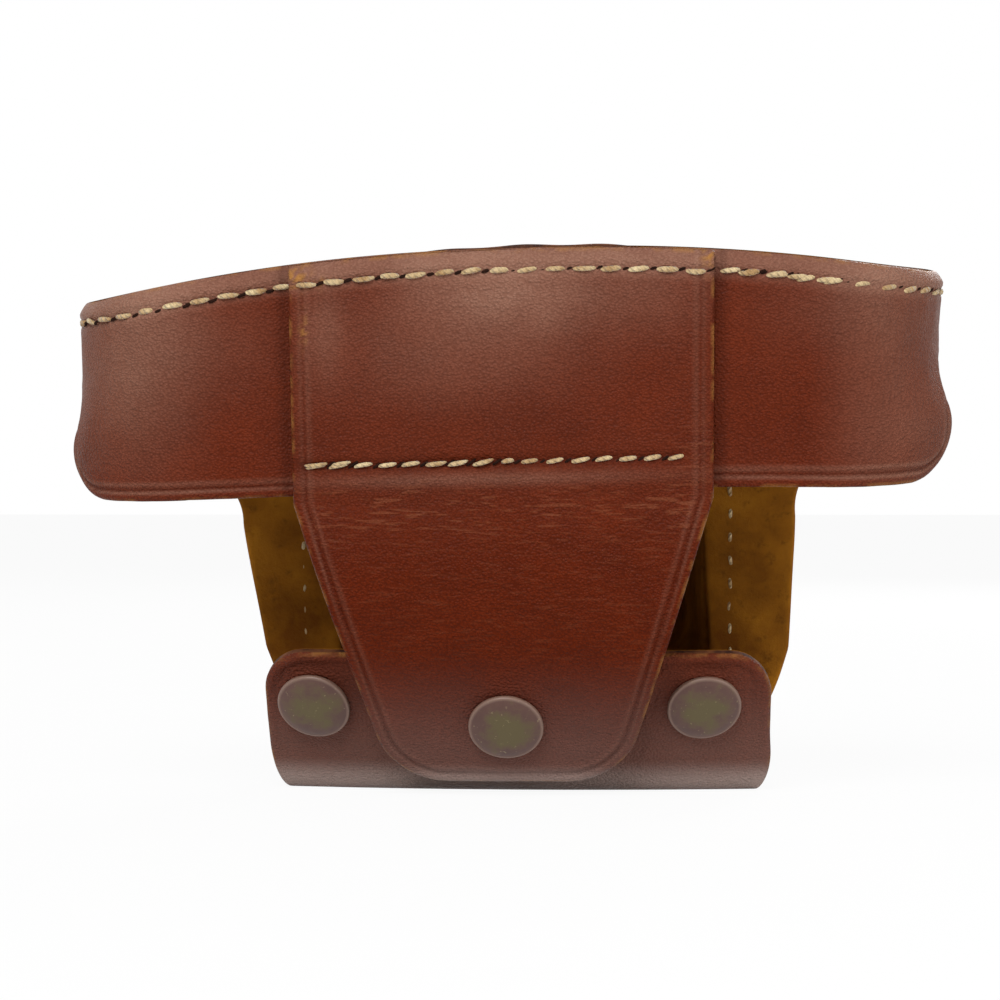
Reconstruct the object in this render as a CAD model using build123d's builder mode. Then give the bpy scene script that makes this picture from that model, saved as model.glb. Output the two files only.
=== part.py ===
"""A leather cover for a camera: a hood with a moulded nose, a closing strap and a base flap.

The cover stands empty and closed on its base flap. X runs along the case, the back band and
the strap face -Y, the nose points to +Y, and Z is up. The origin is the middle of the face
that the case stands on. All sizes are in millimetres and all angles in degrees.
"""
import os
from math import asin, atan, atan2, cos, degrees, radians, sin, sqrt

from build123d import *

os.makedirs("parts", exist_ok=True)


def finish(piece, name):
    """Names a finished piece and writes it."""
    piece.part.label = name
    export_step(piece.part, f"parts/{name}.step")


# Leather and thread
hide = 2.2                  # thickness of every leather piece
thread_width = 0.9
thread_lift = 0.5           # how far a stitch stands above the leather
stitch_share = 0.72         # length of a stitch as a share of its pitch
edge_to_seam = 3.4          # from a cut edge to the row of stitches beside it
bend_gap = 0.3              # between two pieces of one leather that bends there

# Hood, measured in its own frame, which leans back about the front fold
hood_lean = 10.0
hood_length = 151.0
room_depth = 38.0           # space for the camera, from front panel to back band
crown_height = 100.5        # top edge at the middle, above the front fold
crown_radius = 369.0        # arch of the top edge
rim_rise = 5.0              # turned-up rim of the top panel
band_foot_height = 60.8     # lower edge of the back band at the middle
band_foot_radius = 2100.0   # arch of that lower edge
lug_slot_width = 14.0       # slot at each end, where the camera's strap leaves
lug_slot_top = 79.0
free_corner_radius = 9.0

# Front panel
fold_width = 84.0           # leather's width where it folds under the camera
front_hip_width = 97.0
front_hip_height = 24.0
front_waist_width = 102.0
front_waist_height = 48.0
wing_height = 59.8          # lower edge of the wings that reach round the ends
wing_fillet = 11.0

# Nose
nose_width = 69.0           # clear opening in the front panel
nose_height = 52.0
nose_middle = 38.0          # height of its centre above the front fold
nose_corner = 13.0
nose_depth = 46.0
nose_taper = 6.0
nose_edge_radius = 9.0
nose_flange = 6.0

# Closing strap
strap_width = 71.4
strap_tip_width = 40.5
strap_tip_corner = 9.5
strap_tip_height = 2.9      # tip above the surface that the case stands on
strap_bend_height = 59.4    # bend line, in the hood's frame
strap_start_lean = -4.0     # below the bend the strap first swings outwards
strap_bow_radius = 53.0
wall_lean = 32.0            # the strap's end and the base wall lean out together
strap_stitch_height = 6.8   # cross seam above the bend

# Base flap
front_fold_place = 14.0     # front fold, forward of the origin
wall_height = 25.8
wall_width = 90.0
wall_corner = 7.5
wall_plan_radius = 232.0    # the wall bulges backwards
rear_fold_radius = 4.5      # outside of the fold
rear_fold_shoulder = 8.0    # height at which the wall has its full width

# Snap fasteners
cap_radius = 6.55
cap_height = 2.3
cap_foot_radius = 5.5       # where the cap meets the leather
cap_rim_low = 0.9           # the upright rim, from and to this height
cap_rim_high = 1.5
cap_shoulder_radius = 5.75
cap_shoulder_height = 2.0
post_radius = 2.2
clench_radius = 2.8
clench_thickness = 0.25
socket_radius = 5.5
socket_height = 2.5
socket_floor = 0.5
socket_chamber_radius = 4.55
lip_radius = 3.65
lip_thickness = 0.8
spring_wire = 0.3           # radius of the wire
spring_opening = 40.0
stud_height = 2.4
stud_flange_radius = 5.2
stud_flange = 0.6
stud_neck_radius = 2.6
stud_head_radius = 3.25
stud_head_low = 1.8         # the head's widest part, from and to this height
stud_head_high = 2.1
stud_neck_top = 1.3
eyelet_radius = 1.7
eyelet_flange_radius = 5.0
eyelet_flange = 0.5
eyelet_reach = 1.9          # how far the eyelet goes into the stud
snap_gap = 3.4              # between base wall and strap
strap_snap_height = 14.0    # on the strap's middle surface
side_snap_place = 34.3      # to each side of the middle

# Stitches: spacing along each seam
top_pitch = 4.7
cross_pitch = 4.1
cross_seam_left = -34.0
cross_seam_right = 30.0
nose_pitch = 4.2

# Frames: the hood's own, seen from above, from behind and from the end
hood = Plane(
    origin=(0, front_fold_place, hide / 2),
    x_dir=(1, 0, 0),
    z_dir=(0, -sin(radians(hood_lean)), cos(radians(hood_lean))),
)
hood_back = Plane(origin=hood.origin, x_dir=hood.x_dir, z_dir=-hood.y_dir)
hood_depth = room_depth + 2 * hide
hood_middle = hide / 2 - hood_depth / 2     # middle of the room, behind the front fold
reach = 2 * hood_length                     # long enough to cut right through
end_radius = hood_depth / 2
straight_half = hood_length / 2 - end_radius
hood_side = Plane(
    origin=hood.from_local_coords((0, hood_middle, 0)), x_dir=hood.y_dir, z_dir=hood.x_dir
)


def arch_height(middle_height, arch_radius, x):
    """Height of an arched edge at x: its middle height less the drop of the arc."""
    return middle_height - arch_radius + sqrt(arch_radius**2 - x**2)


def arched_slab(top_height, top_radius, thickness):
    """A sheet as wide as the hood that arches along it, with its top at top_height."""
    half = hood_length / 2 + hide
    low_radius = top_radius - thickness
    top_end = arch_height(top_height, top_radius, half)
    low_end = arch_height(top_height - thickness, low_radius, half)
    with BuildPart() as slab:
        with BuildSketch(hood_back):
            with BuildLine():
                ThreePointArc((-half, top_end), (0, top_height), (half, top_end))
                Line((half, top_end), (half, low_end))
                ThreePointArc((half, low_end), (0, top_height - thickness), (-half, low_end))
                Line((-half, low_end), (-half, top_end))
            make_face()
        extrude(amount=reach, both=True)
    return slab.part


def plan_outline(inset, mode=Mode.ADD):
    """The hood's outline from above, with round ends, drawn in from the outer face."""
    with Locations((0, hood_middle)):
        SlotOverall(hood_length - 2 * inset, hood_depth - 2 * inset, mode=mode)


def hood_wall(half_centre):
    """Half of the hood's upright wall, the half whose middle lies at half_centre."""
    with BuildPart() as wall:
        with BuildSketch(hood):
            plan_outline(0)
            plan_outline(hide, mode=Mode.SUBTRACT)
            with Locations((0, half_centre)):
                Rectangle(reach, hood_depth, mode=Mode.INTERSECT)
        extrude(amount=crown_height)
        add(arched_slab(crown_height, crown_radius, crown_height), mode=Mode.INTERSECT)
        add(lug_slot.part, mode=Mode.SUBTRACT)
    return wall.part


# Slot between band and wing at each end, with the free corners rounded
slot_side = lug_slot_width / 2
slot_mouth = slot_side + free_corner_radius
slot_foot_place = straight_half + sqrt(end_radius**2 - slot_mouth**2)
slot_foot = arch_height(band_foot_height, band_foot_radius, slot_foot_place)
slot_corner = slot_foot + free_corner_radius
slot_shoulder = lug_slot_top - slot_side
with BuildPart() as lug_slot:
    with BuildSketch(hood_side):
        with BuildLine():
            RadiusArc((-slot_mouth, slot_foot), (-slot_side, slot_corner), -free_corner_radius)
            Line((-slot_side, slot_corner), (-slot_side, slot_shoulder))
            ThreePointArc((-slot_side, slot_shoulder), (0, lug_slot_top), (slot_side, slot_shoulder))
            Line((slot_side, slot_shoulder), (slot_side, slot_corner))
            RadiusArc((slot_side, slot_corner), (slot_mouth, slot_foot), -free_corner_radius)
            Polyline((slot_mouth, slot_foot), (slot_mouth, 0), (-slot_mouth, 0), (-slot_mouth, slot_foot))
        make_face()
    extrude(amount=reach, both=True)

# Back band: hangs from the top seam, wraps round both ends and is free below
with BuildPart() as back_band:
    add(hood_wall(hood_middle - hood_depth / 2))
    add(arched_slab(band_foot_height, band_foot_radius, band_foot_height), mode=Mode.SUBTRACT)
finish(back_band, "back_band")

# Front panel: narrow below, with wings round the ends above, and a hole for the nose
panel_foot = hide / 2 + bend_gap
with BuildPart() as front_panel:
    add(hood_wall(hood_middle + hood_depth / 2))
    with BuildSketch(hood_back) as panel_shape:
        with BuildLine():
            Polyline(
                (fold_width / 2, panel_foot),
                (front_hip_width / 2, front_hip_height),
                (front_waist_width / 2, front_waist_height),
                (front_waist_width / 2, wing_height),
                (hood_length, wing_height),
                (hood_length, 2 * crown_height),
                (-hood_length, 2 * crown_height),
                (-hood_length, wing_height),
                (-front_waist_width / 2, wing_height),
                (-front_waist_width / 2, front_waist_height),
                (-front_hip_width / 2, front_hip_height),
                (-fold_width / 2, panel_foot),
                close=True,
            )
        make_face()
        wing_line = panel_shape.vertices().filter_by_position(Axis.Y, wing_height, wing_height)
        fillet(wing_line.filter_by(lambda v: abs(v.X) < hood_length / 2), wing_fillet)
    extrude(amount=reach, both=True, mode=Mode.INTERSECT)
    with BuildSketch(hood_back):
        with Locations((0, nose_middle)):
            RectangleRounded(nose_width, nose_height, nose_corner)
    extrude(amount=2 * hide, both=True, mode=Mode.SUBTRACT)
finish(front_panel, "front_panel")

# Top panel: a shallow tray whose turned-up rim is sewn inside band and front panel
with BuildPart() as rim_pocket:
    with BuildSketch(hood):
        plan_outline(2 * hide)
    extrude(amount=2 * crown_height)
    add(
        arched_slab(crown_height + rim_rise, crown_radius + rim_rise, 2 * rim_rise),
        mode=Mode.INTERSECT,
    )
with BuildPart() as top_panel:
    with BuildSketch(hood):
        plan_outline(hide)
    extrude(amount=crown_height)
    add(arched_slab(crown_height, crown_radius, rim_rise + hide), mode=Mode.INTERSECT)
    add(rim_pocket.part, mode=Mode.SUBTRACT)
finish(top_panel, "top_panel")

# Nose: a moulded box for the lens, with a flange sewn on the front panel
hood_front = Plane(origin=hood.origin, x_dir=-hood.x_dir, z_dir=hood.y_dir)
panel_face = hood_front.offset(hide / 2)
forward = Axis(hood.origin, hood.y_dir)
with BuildPart() as nose_room:
    with BuildSketch(panel_face):
        with Locations((0, nose_middle)):
            RectangleRounded(nose_width, nose_height, nose_corner)
    extrude(amount=nose_depth - hide, taper=nose_taper)
    fillet(nose_room.faces().sort_by(forward)[-1].edges(), nose_edge_radius - hide)
with BuildPart() as nose:
    with BuildSketch(panel_face):
        with Locations((0, nose_middle)):
            RectangleRounded(nose_width + 2 * hide, nose_height + 2 * hide, nose_corner + hide)
    extrude(amount=nose_depth, taper=nose_taper)
    fillet(nose.faces().sort_by(forward)[-1].edges(), nose_edge_radius)
    with BuildSketch(panel_face):
        flange_reach = hide + nose_flange
        with Locations((0, nose_middle)):
            RectangleRounded(
                nose_width + 2 * flange_reach,
                nose_height + 2 * flange_reach,
                nose_corner + flange_reach,
            )
    extrude(amount=hide)
    add(nose_room.part, mode=Mode.SUBTRACT)
finish(nose, "nose")

# Strap, upper part: sewn flat on the back band, down to the bend
band_face = hood_back.offset(hood_depth - hide / 2)
root_foot = strap_bend_height + bend_gap / 2
with BuildPart() as strap_root:
    with BuildSketch(band_face):
        with Locations((0, root_foot)):
            Rectangle(strap_width, crown_height, align=(Align.CENTER, Align.MIN))
    extrude(amount=hide)
    add(arched_slab(crown_height, crown_radius, crown_height), mode=Mode.INTERSECT)
finish(strap_root, "strap_root")

# Strap, free part: bows outwards below the bend, then runs straight along the base wall
bend = hood.from_local_coords((0, hide / 2 - hood_depth - hide, strap_bend_height))
case_back = Plane(origin=(0, 0, 0), x_dir=(1, 0, 0), z_dir=(0, -1, 0))


def inward(lean):
    """Unit vector from the strap's outer to its inner face, in (y, z), where it has this lean."""
    return Vector(cos(radians(lean)), sin(radians(lean)))


def downward(lean):
    """Unit vector down along the strap, in (y, z), where it has this lean."""
    return Vector(sin(radians(lean)), -cos(radians(lean)))


bend_point = Vector(bend.Y, bend.Z)
strap_start = bend_point + inward(strap_start_lean) * hide / 2 + downward(strap_start_lean) * bend_gap / 2
bow_centre = strap_start + inward(strap_start_lean) * strap_bow_radius
bow_end = bow_centre - inward(wall_lean) * strap_bow_radius
strap_tip = bow_end + downward(wall_lean) * bow_end.Y / cos(radians(wall_lean))
strap_snap = bow_end + downward(wall_lean) * (bow_end.Y - strap_snap_height) / cos(radians(wall_lean))


def wall_plane(point, swing=0.0):
    """Plane square to the base wall's lean at a (y, z) point, facing out, swung about its centre."""
    turn = radians(swing)
    radius = wall_centre - point.X
    flat = cos(radians(wall_lean))
    return Plane(
        origin=(radius * sin(turn), wall_centre - radius * cos(turn), point.Y),
        x_dir=(cos(turn), sin(turn), 0),
        z_dir=(flat * sin(turn), -flat * cos(turn), -sin(radians(wall_lean))),
    )


wall_snap = strap_snap + inward(wall_lean) * (hide / 2 + snap_gap)
wall_centre = wall_snap.X + wall_plan_radius
side_swing = degrees(asin(side_snap_place / wall_plan_radius))
strap_seat = wall_plane(strap_snap - inward(wall_lean) * hide / 2)
centre_seat = wall_plane(wall_snap)
side_seats = {
    "left": wall_plane(wall_snap, -side_swing),
    "right": wall_plane(wall_snap, side_swing),
}

with BuildPart() as closing_strap:
    with BuildSketch(Plane.YZ):
        with BuildLine():
            JernArc(
                strap_start,
                downward(strap_start_lean),
                strap_bow_radius,
                wall_lean - strap_start_lean,
            )
            Line(bow_end, strap_tip)
        trace(line_width=hide)
    extrude(amount=strap_width / 2, both=True)
    with BuildSketch(case_back) as strap_shape:
        with BuildLine():
            Polyline(
                (-strap_width / 2, 2 * bend.Z),
                (-strap_width / 2, bend.Z),
                (-strap_tip_width / 2, strap_tip_height),
                (strap_tip_width / 2, strap_tip_height),
                (strap_width / 2, bend.Z),
                (strap_width / 2, 2 * bend.Z),
                close=True,
            )
        make_face()
        fillet(strap_shape.vertices().group_by(Axis.Y)[0], strap_tip_corner)
    extrude(amount=reach, both=True, mode=Mode.INTERSECT)
    with BuildSketch(strap_seat):
        Circle(post_radius)
    extrude(amount=-2 * hide, mode=Mode.SUBTRACT)
finish(closing_strap, "closing_strap")

# Base flap: runs back under the camera and up behind it, all one leather
wall_mid = wall_snap + inward(wall_lean) * hide / 2
wall_foot = wall_mid + downward(wall_lean) * (wall_mid.Y - hide / 2) / cos(radians(wall_lean))
wall_top = wall_mid - downward(wall_lean) * (wall_height - wall_mid.Y) / cos(radians(wall_lean))
fold_run = 2 * rear_fold_radius
wall_sweep = degrees(asin(wall_width / wall_plan_radius))
sweep_start = radians(wall_sweep)
radial = Plane(
    origin=(0, wall_centre, 0),
    x_dir=(-sin(sweep_start), -cos(sweep_start), 0),
    z_dir=(-cos(sweep_start), sin(sweep_start), 0),
)
with BuildPart() as base_flap:
    with BuildSketch(radial):
        with BuildLine():
            FilletPolyline(
                (wall_centre - wall_foot.X - fold_run, wall_foot.Y),
                (wall_centre - wall_foot.X, wall_foot.Y),
                (wall_centre - wall_top.X, wall_top.Y),
                radius=rear_fold_radius - hide / 2,
            )
        trace(line_width=hide)
    revolve(axis=Axis((0, wall_centre, 0), (0, 0, 1)), revolution_arc=2 * wall_sweep)
    with BuildSketch(Plane.XY):
        with Locations((0, front_fold_place)):
            Rectangle(
                wall_width,
                front_fold_place - wall_foot.X - fold_run / 2,
                align=(Align.CENTER, Align.MAX),
            )
    extrude(amount=hide)
    with BuildSketch(Plane.YZ):
        with Locations((front_fold_place, hide / 2)):
            Circle(hide / 2)
    extrude(amount=wall_width / 2, both=True)
    with BuildSketch(case_back) as flap_shape:
        with BuildLine():
            Polyline(
                (-fold_width / 2, 0),
                (-wall_width / 2, rear_fold_shoulder),
                (-wall_width / 2, wall_height),
                (wall_width / 2, wall_height),
                (wall_width / 2, rear_fold_shoulder),
                (fold_width / 2, 0),
                close=True,
            )
        make_face()
        fillet(flap_shape.vertices().group_by(Axis.Y)[-1], wall_corner)
    extrude(amount=reach, both=True, mode=Mode.INTERSECT)
    holes = {eyelet_radius: [centre_seat], post_radius: side_seats.values()}
    for radius, seats in holes.items():
        for seat in seats:
            with BuildSketch(seat):
                Circle(radius)
            extrude(amount=-2 * hide, mode=Mode.SUBTRACT)
            with BuildSketch(seat.offset(-hide)):
                Circle(socket_radius)
            extrude(amount=-hide, mode=Mode.SUBTRACT)
finish(base_flap, "base_flap")


def turned(seat, corners, arc=360.0):
    """A round piece: half its outline, in (radius, height) over the seat, turned about its axis."""
    half = Plane(origin=seat.origin, x_dir=seat.x_dir, z_dir=-seat.y_dir)
    with BuildPart() as piece:
        with BuildSketch(half):
            with BuildLine():
                Polyline(*corners, close=True)
            make_face()
        revolve(axis=Axis(seat.origin, seat.z_dir), revolution_arc=arc)
    return piece


def snap_cap(seat):
    """Domed cap outside the leather, with the post that is clenched inside the socket."""
    clench_start = hide + socket_floor
    cap = turned(
        seat,
        [
            (0, -clench_start - clench_thickness),
            (clench_radius, -clench_start - clench_thickness),
            (clench_radius, -clench_start),
            (post_radius, -clench_start),
            (post_radius, 0),
            (cap_foot_radius, 0),
            (cap_radius, cap_rim_low),
            (cap_radius, cap_rim_high),
            (cap_shoulder_radius, cap_shoulder_height),
            (0, cap_height),
        ],
    )
    return cap


def snap_socket(seat):
    """Round socket on the leather's inner face, open towards the stud."""
    floor = -hide - socket_floor
    mouth = -hide - socket_height
    return turned(
        seat,
        [
            (post_radius, -hide),
            (socket_radius, -hide),
            (socket_radius, mouth),
            (lip_radius, mouth),
            (lip_radius, mouth + lip_thickness),
            (socket_chamber_radius, mouth + lip_thickness),
            (socket_chamber_radius, floor),
            (post_radius, floor),
        ],
    )


def snap_spring(seat):
    """Open ring of spring wire that lies in the socket's chamber, on its lip."""
    level = -hide - socket_height + lip_thickness + spring_wire
    half = Plane(origin=seat.origin, x_dir=seat.x_dir, z_dir=-seat.y_dir)
    with BuildPart() as ring:
        with BuildSketch(half):
            with Locations((socket_chamber_radius - 1.5 * spring_wire, level)):
                Circle(spring_wire)
        revolve(axis=Axis(seat.origin, seat.z_dir), revolution_arc=360 - spring_opening)
    return ring


# Snap fasteners: the strap's, then one at each side of the base wall
for name, seat in {"strap": strap_seat, **side_seats}.items():
    finish(snap_cap(seat), f"{name}_snap_cap")
    finish(snap_socket(seat), f"{name}_snap_socket")
    finish(snap_spring(seat), f"{name}_snap_spring")

# Stud on the base wall, for the strap's socket, and the eyelet that holds it from inside
base_stud = turned(
    centre_seat,
    [
        (eyelet_radius, 0),
        (stud_flange_radius, 0),
        (stud_flange_radius, stud_flange),
        (stud_neck_radius, stud_flange),
        (stud_neck_radius, stud_neck_top),
        (stud_head_radius, stud_head_low),
        (stud_head_radius, stud_head_high),
        (stud_neck_radius, stud_height),
        (eyelet_radius, stud_height),
    ],
)
stud_eyelet = turned(
    centre_seat,
    [
        (0, -hide - eyelet_flange),
        (eyelet_flange_radius, -hide - eyelet_flange),
        (eyelet_flange_radius, -hide),
        (eyelet_radius, -hide),
        (eyelet_radius, eyelet_reach),
        (0, eyelet_reach),
    ],
)
finish(base_stud, "base_stud")
finish(stud_eyelet, "stud_eyelet")


def stitch_row(places, pitch):
    """A row of short flat stitches, each with its length along the place's X and its face on Z."""
    with BuildPart() as thread:
        with Locations(*places):
            Box(
                stitch_share * pitch,
                thread_width,
                thread_lift,
                align=(Align.CENTER, Align.CENTER, Align.MIN),
            )
    return thread


def along(wire, pitch):
    """Evenly spaced (point, direction in degrees) pairs, anticlockwise round a closed wire."""
    count = round(wire.length / pitch)
    middle = wire.bounding_box().center()
    pairs = []
    for index in range(count):
        t = (index + 0.5) / count
        point, course = wire @ t, wire % t
        if (point - middle).cross(course).Z < 0:
            course = -course
        pairs.append((point, degrees(atan2(course.Y, course.X))))
    return pairs


# Top seam: stitches all round, below the arched edge; none lies across the strap's side edges
with BuildSketch() as seam_plan:
    plan_outline(0)
top_places = []
for point, turn in along(seam_plan.wire(), top_pitch):
    from_edge = abs(point.X) - strap_width / 2
    behind = point.Y < hood_middle
    if behind and abs(from_edge) < top_pitch / 2:
        continue
    lift = hide if behind and from_edge < 0 else 0
    height = arch_height(crown_height, crown_radius, point.X) - edge_to_seam
    slope = degrees(atan(-point.X / (crown_radius - crown_height + height)))
    upright = hood.location * Location((point.X, point.Y, height), (0, 0, turn))
    tilted = upright * Location((0, -lift, 0), (0, -slope * cos(radians(turn)), 0))
    top_places.append(tilted * Location((0, 0, 0), (90, 0, 0)))
finish(stitch_row(top_places, top_pitch), "top_seam_thread")

# Cross seam: holds the strap on the band just above the bend
root_face = band_face.offset(hide)
cross_count = round((cross_seam_right - cross_seam_left) / cross_pitch)
cross_places = [
    root_face.location
    * Location((cross_seam_left + (index + 0.5) * cross_pitch, strap_bend_height + strap_stitch_height, 0))
    for index in range(cross_count)
]
finish(stitch_row(cross_places, cross_pitch), "cross_seam_thread")

# Nose seam: round the opening, on the flesh side and on the flange
with BuildSketch() as nose_plan:
    with Locations((0, nose_middle)):
        seam_reach = hide + nose_flange / 2
        RectangleRounded(
            nose_width + 2 * seam_reach,
            nose_height + 2 * seam_reach,
            nose_corner + seam_reach,
        )
nose_places = []
for point, turn in along(nose_plan.wire(), nose_pitch):
    inside = Location((point.X, point.Y, hide / 2), (0, 0, turn))
    outside = Location((-point.X, point.Y, hide / 2 + hide), (0, 0, -turn))
    nose_places.append(hood_back.location * inside)
    nose_places.append(hood_front.location * outside)
finish(stitch_row(nose_places, nose_pitch), "nose_seam_thread")

for title, point in {"strap bend": bend, "front fold": hood.origin, "base rear fold": wall_foot}.items():
    print(title, point)
for title, seat in side_seats.items():
    print(title, "snap seat", seat.origin, seat.z_dir)
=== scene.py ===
# %% [markdown]
# A leather camera case cover, seen from behind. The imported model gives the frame: the snap
# fasteners stay as they are, and each leather piece is drawn again as a soft sheet in its place.
# Everything below is in millimetres until it goes into a mesh, which is in metres.

# %% Load the frame
import math

import bpy
import numpy as np
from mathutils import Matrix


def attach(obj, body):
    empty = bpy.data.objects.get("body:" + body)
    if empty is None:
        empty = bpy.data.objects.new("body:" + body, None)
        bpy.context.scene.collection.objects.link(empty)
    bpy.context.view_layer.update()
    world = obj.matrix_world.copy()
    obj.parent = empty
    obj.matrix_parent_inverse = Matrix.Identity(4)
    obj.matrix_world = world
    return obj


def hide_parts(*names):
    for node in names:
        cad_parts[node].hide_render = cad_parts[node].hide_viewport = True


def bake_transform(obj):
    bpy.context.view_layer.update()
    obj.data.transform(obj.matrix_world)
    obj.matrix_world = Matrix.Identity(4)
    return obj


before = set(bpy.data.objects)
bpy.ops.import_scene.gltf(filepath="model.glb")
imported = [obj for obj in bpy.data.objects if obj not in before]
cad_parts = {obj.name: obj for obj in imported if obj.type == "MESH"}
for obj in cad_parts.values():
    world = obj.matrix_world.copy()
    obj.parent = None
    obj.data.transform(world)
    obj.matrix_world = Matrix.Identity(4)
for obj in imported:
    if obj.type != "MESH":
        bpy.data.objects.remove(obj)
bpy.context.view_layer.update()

# %% [markdown]
# Some small helpers come first. Colours are written as on a paint card, in hex, and a shader wants
# them linear. A node is added with its settings and links in one call, which keeps a material short.


# %% Colour and node helpers
def colour(code):
    """Linear red, green, blue and alpha of a hex colour, by the sRGB curve."""
    parts = np.array([int(code[i:i + 2], 16) for i in (0, 2, 4)]) / 255
    linear = np.where(parts <= 0.04045, parts / 12.92, ((parts + 0.055) / 1.055) ** 2.4)
    return (*linear, 1.0)


def plug(tree, node, inputs):
    """Sets sockets of a node: each to a value, or linked to another node's output."""
    for name, value in inputs.items():
        if isinstance(value, bpy.types.NodeSocket):
            tree.links.new(value, node.inputs[name])
        else:
            node.inputs[name].default_value = value


def add(tree, kind, inputs=None, **settings):
    """A new node: settings are its properties, inputs its sockets."""
    node = tree.nodes.new(kind)
    for name, value in settings.items():
        setattr(node, name, value)
    plug(tree, node, inputs or {})
    return node


def new_material(name):
    """A new material, its node tree and shader, and the object's own coordinates."""
    material = bpy.data.materials.new(name)
    material.use_nodes = True
    tree = material.node_tree
    place = add(tree, "ShaderNodeTexCoord").outputs["Object"]
    return material, tree, tree.nodes["Principled BSDF"], place


# %% [markdown]
# The photograph looks at the strap from a little to the right of its middle and from half the
# height of the case, with a long lens. The camera is placed by that, and turned to frame it.

# %% Camera
CAMERA_PLACE = (0.026, -0.490, 0.0522)
LENS = 96.0
YAW = math.radians(3.35)

camera_data = bpy.data.cameras.new("camera")
camera = bpy.data.objects.new("camera", camera_data)
bpy.context.scene.collection.objects.link(camera)
bpy.context.scene.camera = camera
camera.location = CAMERA_PLACE
camera.rotation_euler = (math.radians(90), 0, YAW)
camera_data.lens = LENS
camera_data.sensor_width = 36.0
camera_data.clip_start = 0.01
bpy.context.scene.view_settings.view_transform = "Standard"

# %% [markdown]
# The leather is cut 2.2 mm thick. The hood leans back about the front fold, and seen from above
# it is an oblong with round ends. These are the sizes that the solid model has too.

# %% Sizes of the cover
HIDE = 2.2
LEAN = math.radians(10.0)
FOLD_Y = 14.0
HOOD_LENGTH = 151.0
HOOD_DEPTH = 38.0 + 2 * HIDE
MIDDLE_V = HIDE / 2 - HOOD_DEPTH / 2
STRAIGHT = (HOOD_LENGTH - HOOD_DEPTH) / 2
END_RADIUS = HOOD_DEPTH / 2 - HIDE / 2          # of the leather's middle surface
HALF_ROUND = STRAIGHT + END_RADIUS * math.pi / 2
CROWN_HEIGHT, CROWN_RADIUS = 100.5, 369.0
BAND_FOOT, BAND_FOOT_RADIUS = 60.8, 2100.0
SLOT_SIDE, SLOT_TOP = 7.0, 79.0
FREE_CORNER = 7.4
EDGE_TO_SEAM = 3.4


def crown(x):
    """Height of the arched top edge at x: an arc of a large circle."""
    return CROWN_HEIGHT - CROWN_RADIUS + np.sqrt(CROWN_RADIUS**2 - x**2)


def band_foot(x):
    """Height of the band's lower edge at x, a flatter arc."""
    return BAND_FOOT - BAND_FOOT_RADIUS + np.sqrt(BAND_FOOT_RADIUS**2 - x**2)


def hood_point(x, v, w):
    """Point at x along, v forward and w up in the leaning hood, as the case stands."""
    x, v, w = np.broadcast_arrays(x, v, w)
    y = FOLD_Y + v * math.cos(LEAN) - w * math.sin(LEAN)
    z = HIDE / 2 + v * math.sin(LEAN) + w * math.cos(LEAN)
    return np.stack([x, y, z], axis=-1)


def round_hood(s, w, side):
    """Middle of the hood's wall: s runs round it from the middle of the back (side -1) or front."""
    turn = np.clip((np.abs(s) - STRAIGHT) / END_RADIUS, 0, None)
    x = np.sign(s) * (np.minimum(np.abs(s), STRAIGHT) + END_RADIUS * np.sin(turn))
    return hood_point(x, MIDDLE_V + side * END_RADIUS * np.cos(turn), w)


def patch(points, centre, reach):
    """A soft spot on flat points: the bell curve of their distance from centre, in units of reach."""
    return np.exp(-(((points - np.array(centre)) / np.array(reach)) ** 2).sum(-1))


def bell(away, width):
    """The bell curve: 1 where away is 0, and 0.37 where it equals width."""
    return np.exp(-((away / width) ** 2))


def smooth(low, high, value):
    """0 below low, 1 above high, and an S-shaped step between them."""
    t = np.clip((value - low) / (high - low), 0, 1)
    return t * t * (3 - 2 * t)


def waves(points, shortest, longest, count, seed, squeeze=(1, 1)):
    """Smooth noise of about -1 to 1: a sum of plane waves with random directions and phases."""
    draw = np.random.default_rng(seed)
    length = draw.uniform(shortest, longest, count)
    heading = draw.uniform(0, 2 * math.pi, count)
    phase = draw.uniform(0, 2 * math.pi, count)
    kx = 2 * math.pi * np.cos(heading) / length * squeeze[0]
    ky = 2 * math.pi * np.sin(heading) / length * squeeze[1]
    total = np.zeros(points.shape[:-1])
    for i in range(count):
        total += np.sin(points[..., 0] * kx[i] + points[..., 1] * ky[i] + phase[i])
    return total / math.sqrt(count / 2)


# %% [markdown]
# Old leather doesn't stand square. The hood rolls a little against its base, and its crown is
# pulled level by the seam. One displacement of space does this to every sheet and every stitch,
# so what touches stays in touch. It is zero round the snap fasteners, which don't move.

# %% How the empty cover settles
ROLL = math.tan(math.radians(1.9))
CROWN_LEVEL = 1.4 / 21.0    # rise of the crown for each mm towards the eye
CROWN_AT, CROWN_RISE = (-75, -30, 0, 35, 75), (0.8, 0.4, 0, 0.35, 0.7)  # its unevenness along x
FAR_EDGE_DROP = 0.55        # of the crown's edge away from the eye
HOOD_MIDDLE_Y = -21.8


def settle(points):
    """Shears the hood upwards towards +X, fully above the strap's bend, and levels its crown."""
    x, y, z = points[..., 0], points[..., 1], points[..., 2]
    high = smooth(66, 96, z)
    lift = ROLL * x * smooth(27, 72, z)
    lift = lift - CROWN_LEVEL * np.clip(y - HOOD_MIDDLE_Y, -23, 25) * high
    lift = lift + np.interp(x, CROWN_AT, CROWN_RISE) * high
    lift = lift - FAR_EDGE_DROP * smooth(2, 19, y - HOOD_MIDDLE_Y) * high
    return points + np.stack([0 * x, 0 * x, lift], axis=-1)


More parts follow.
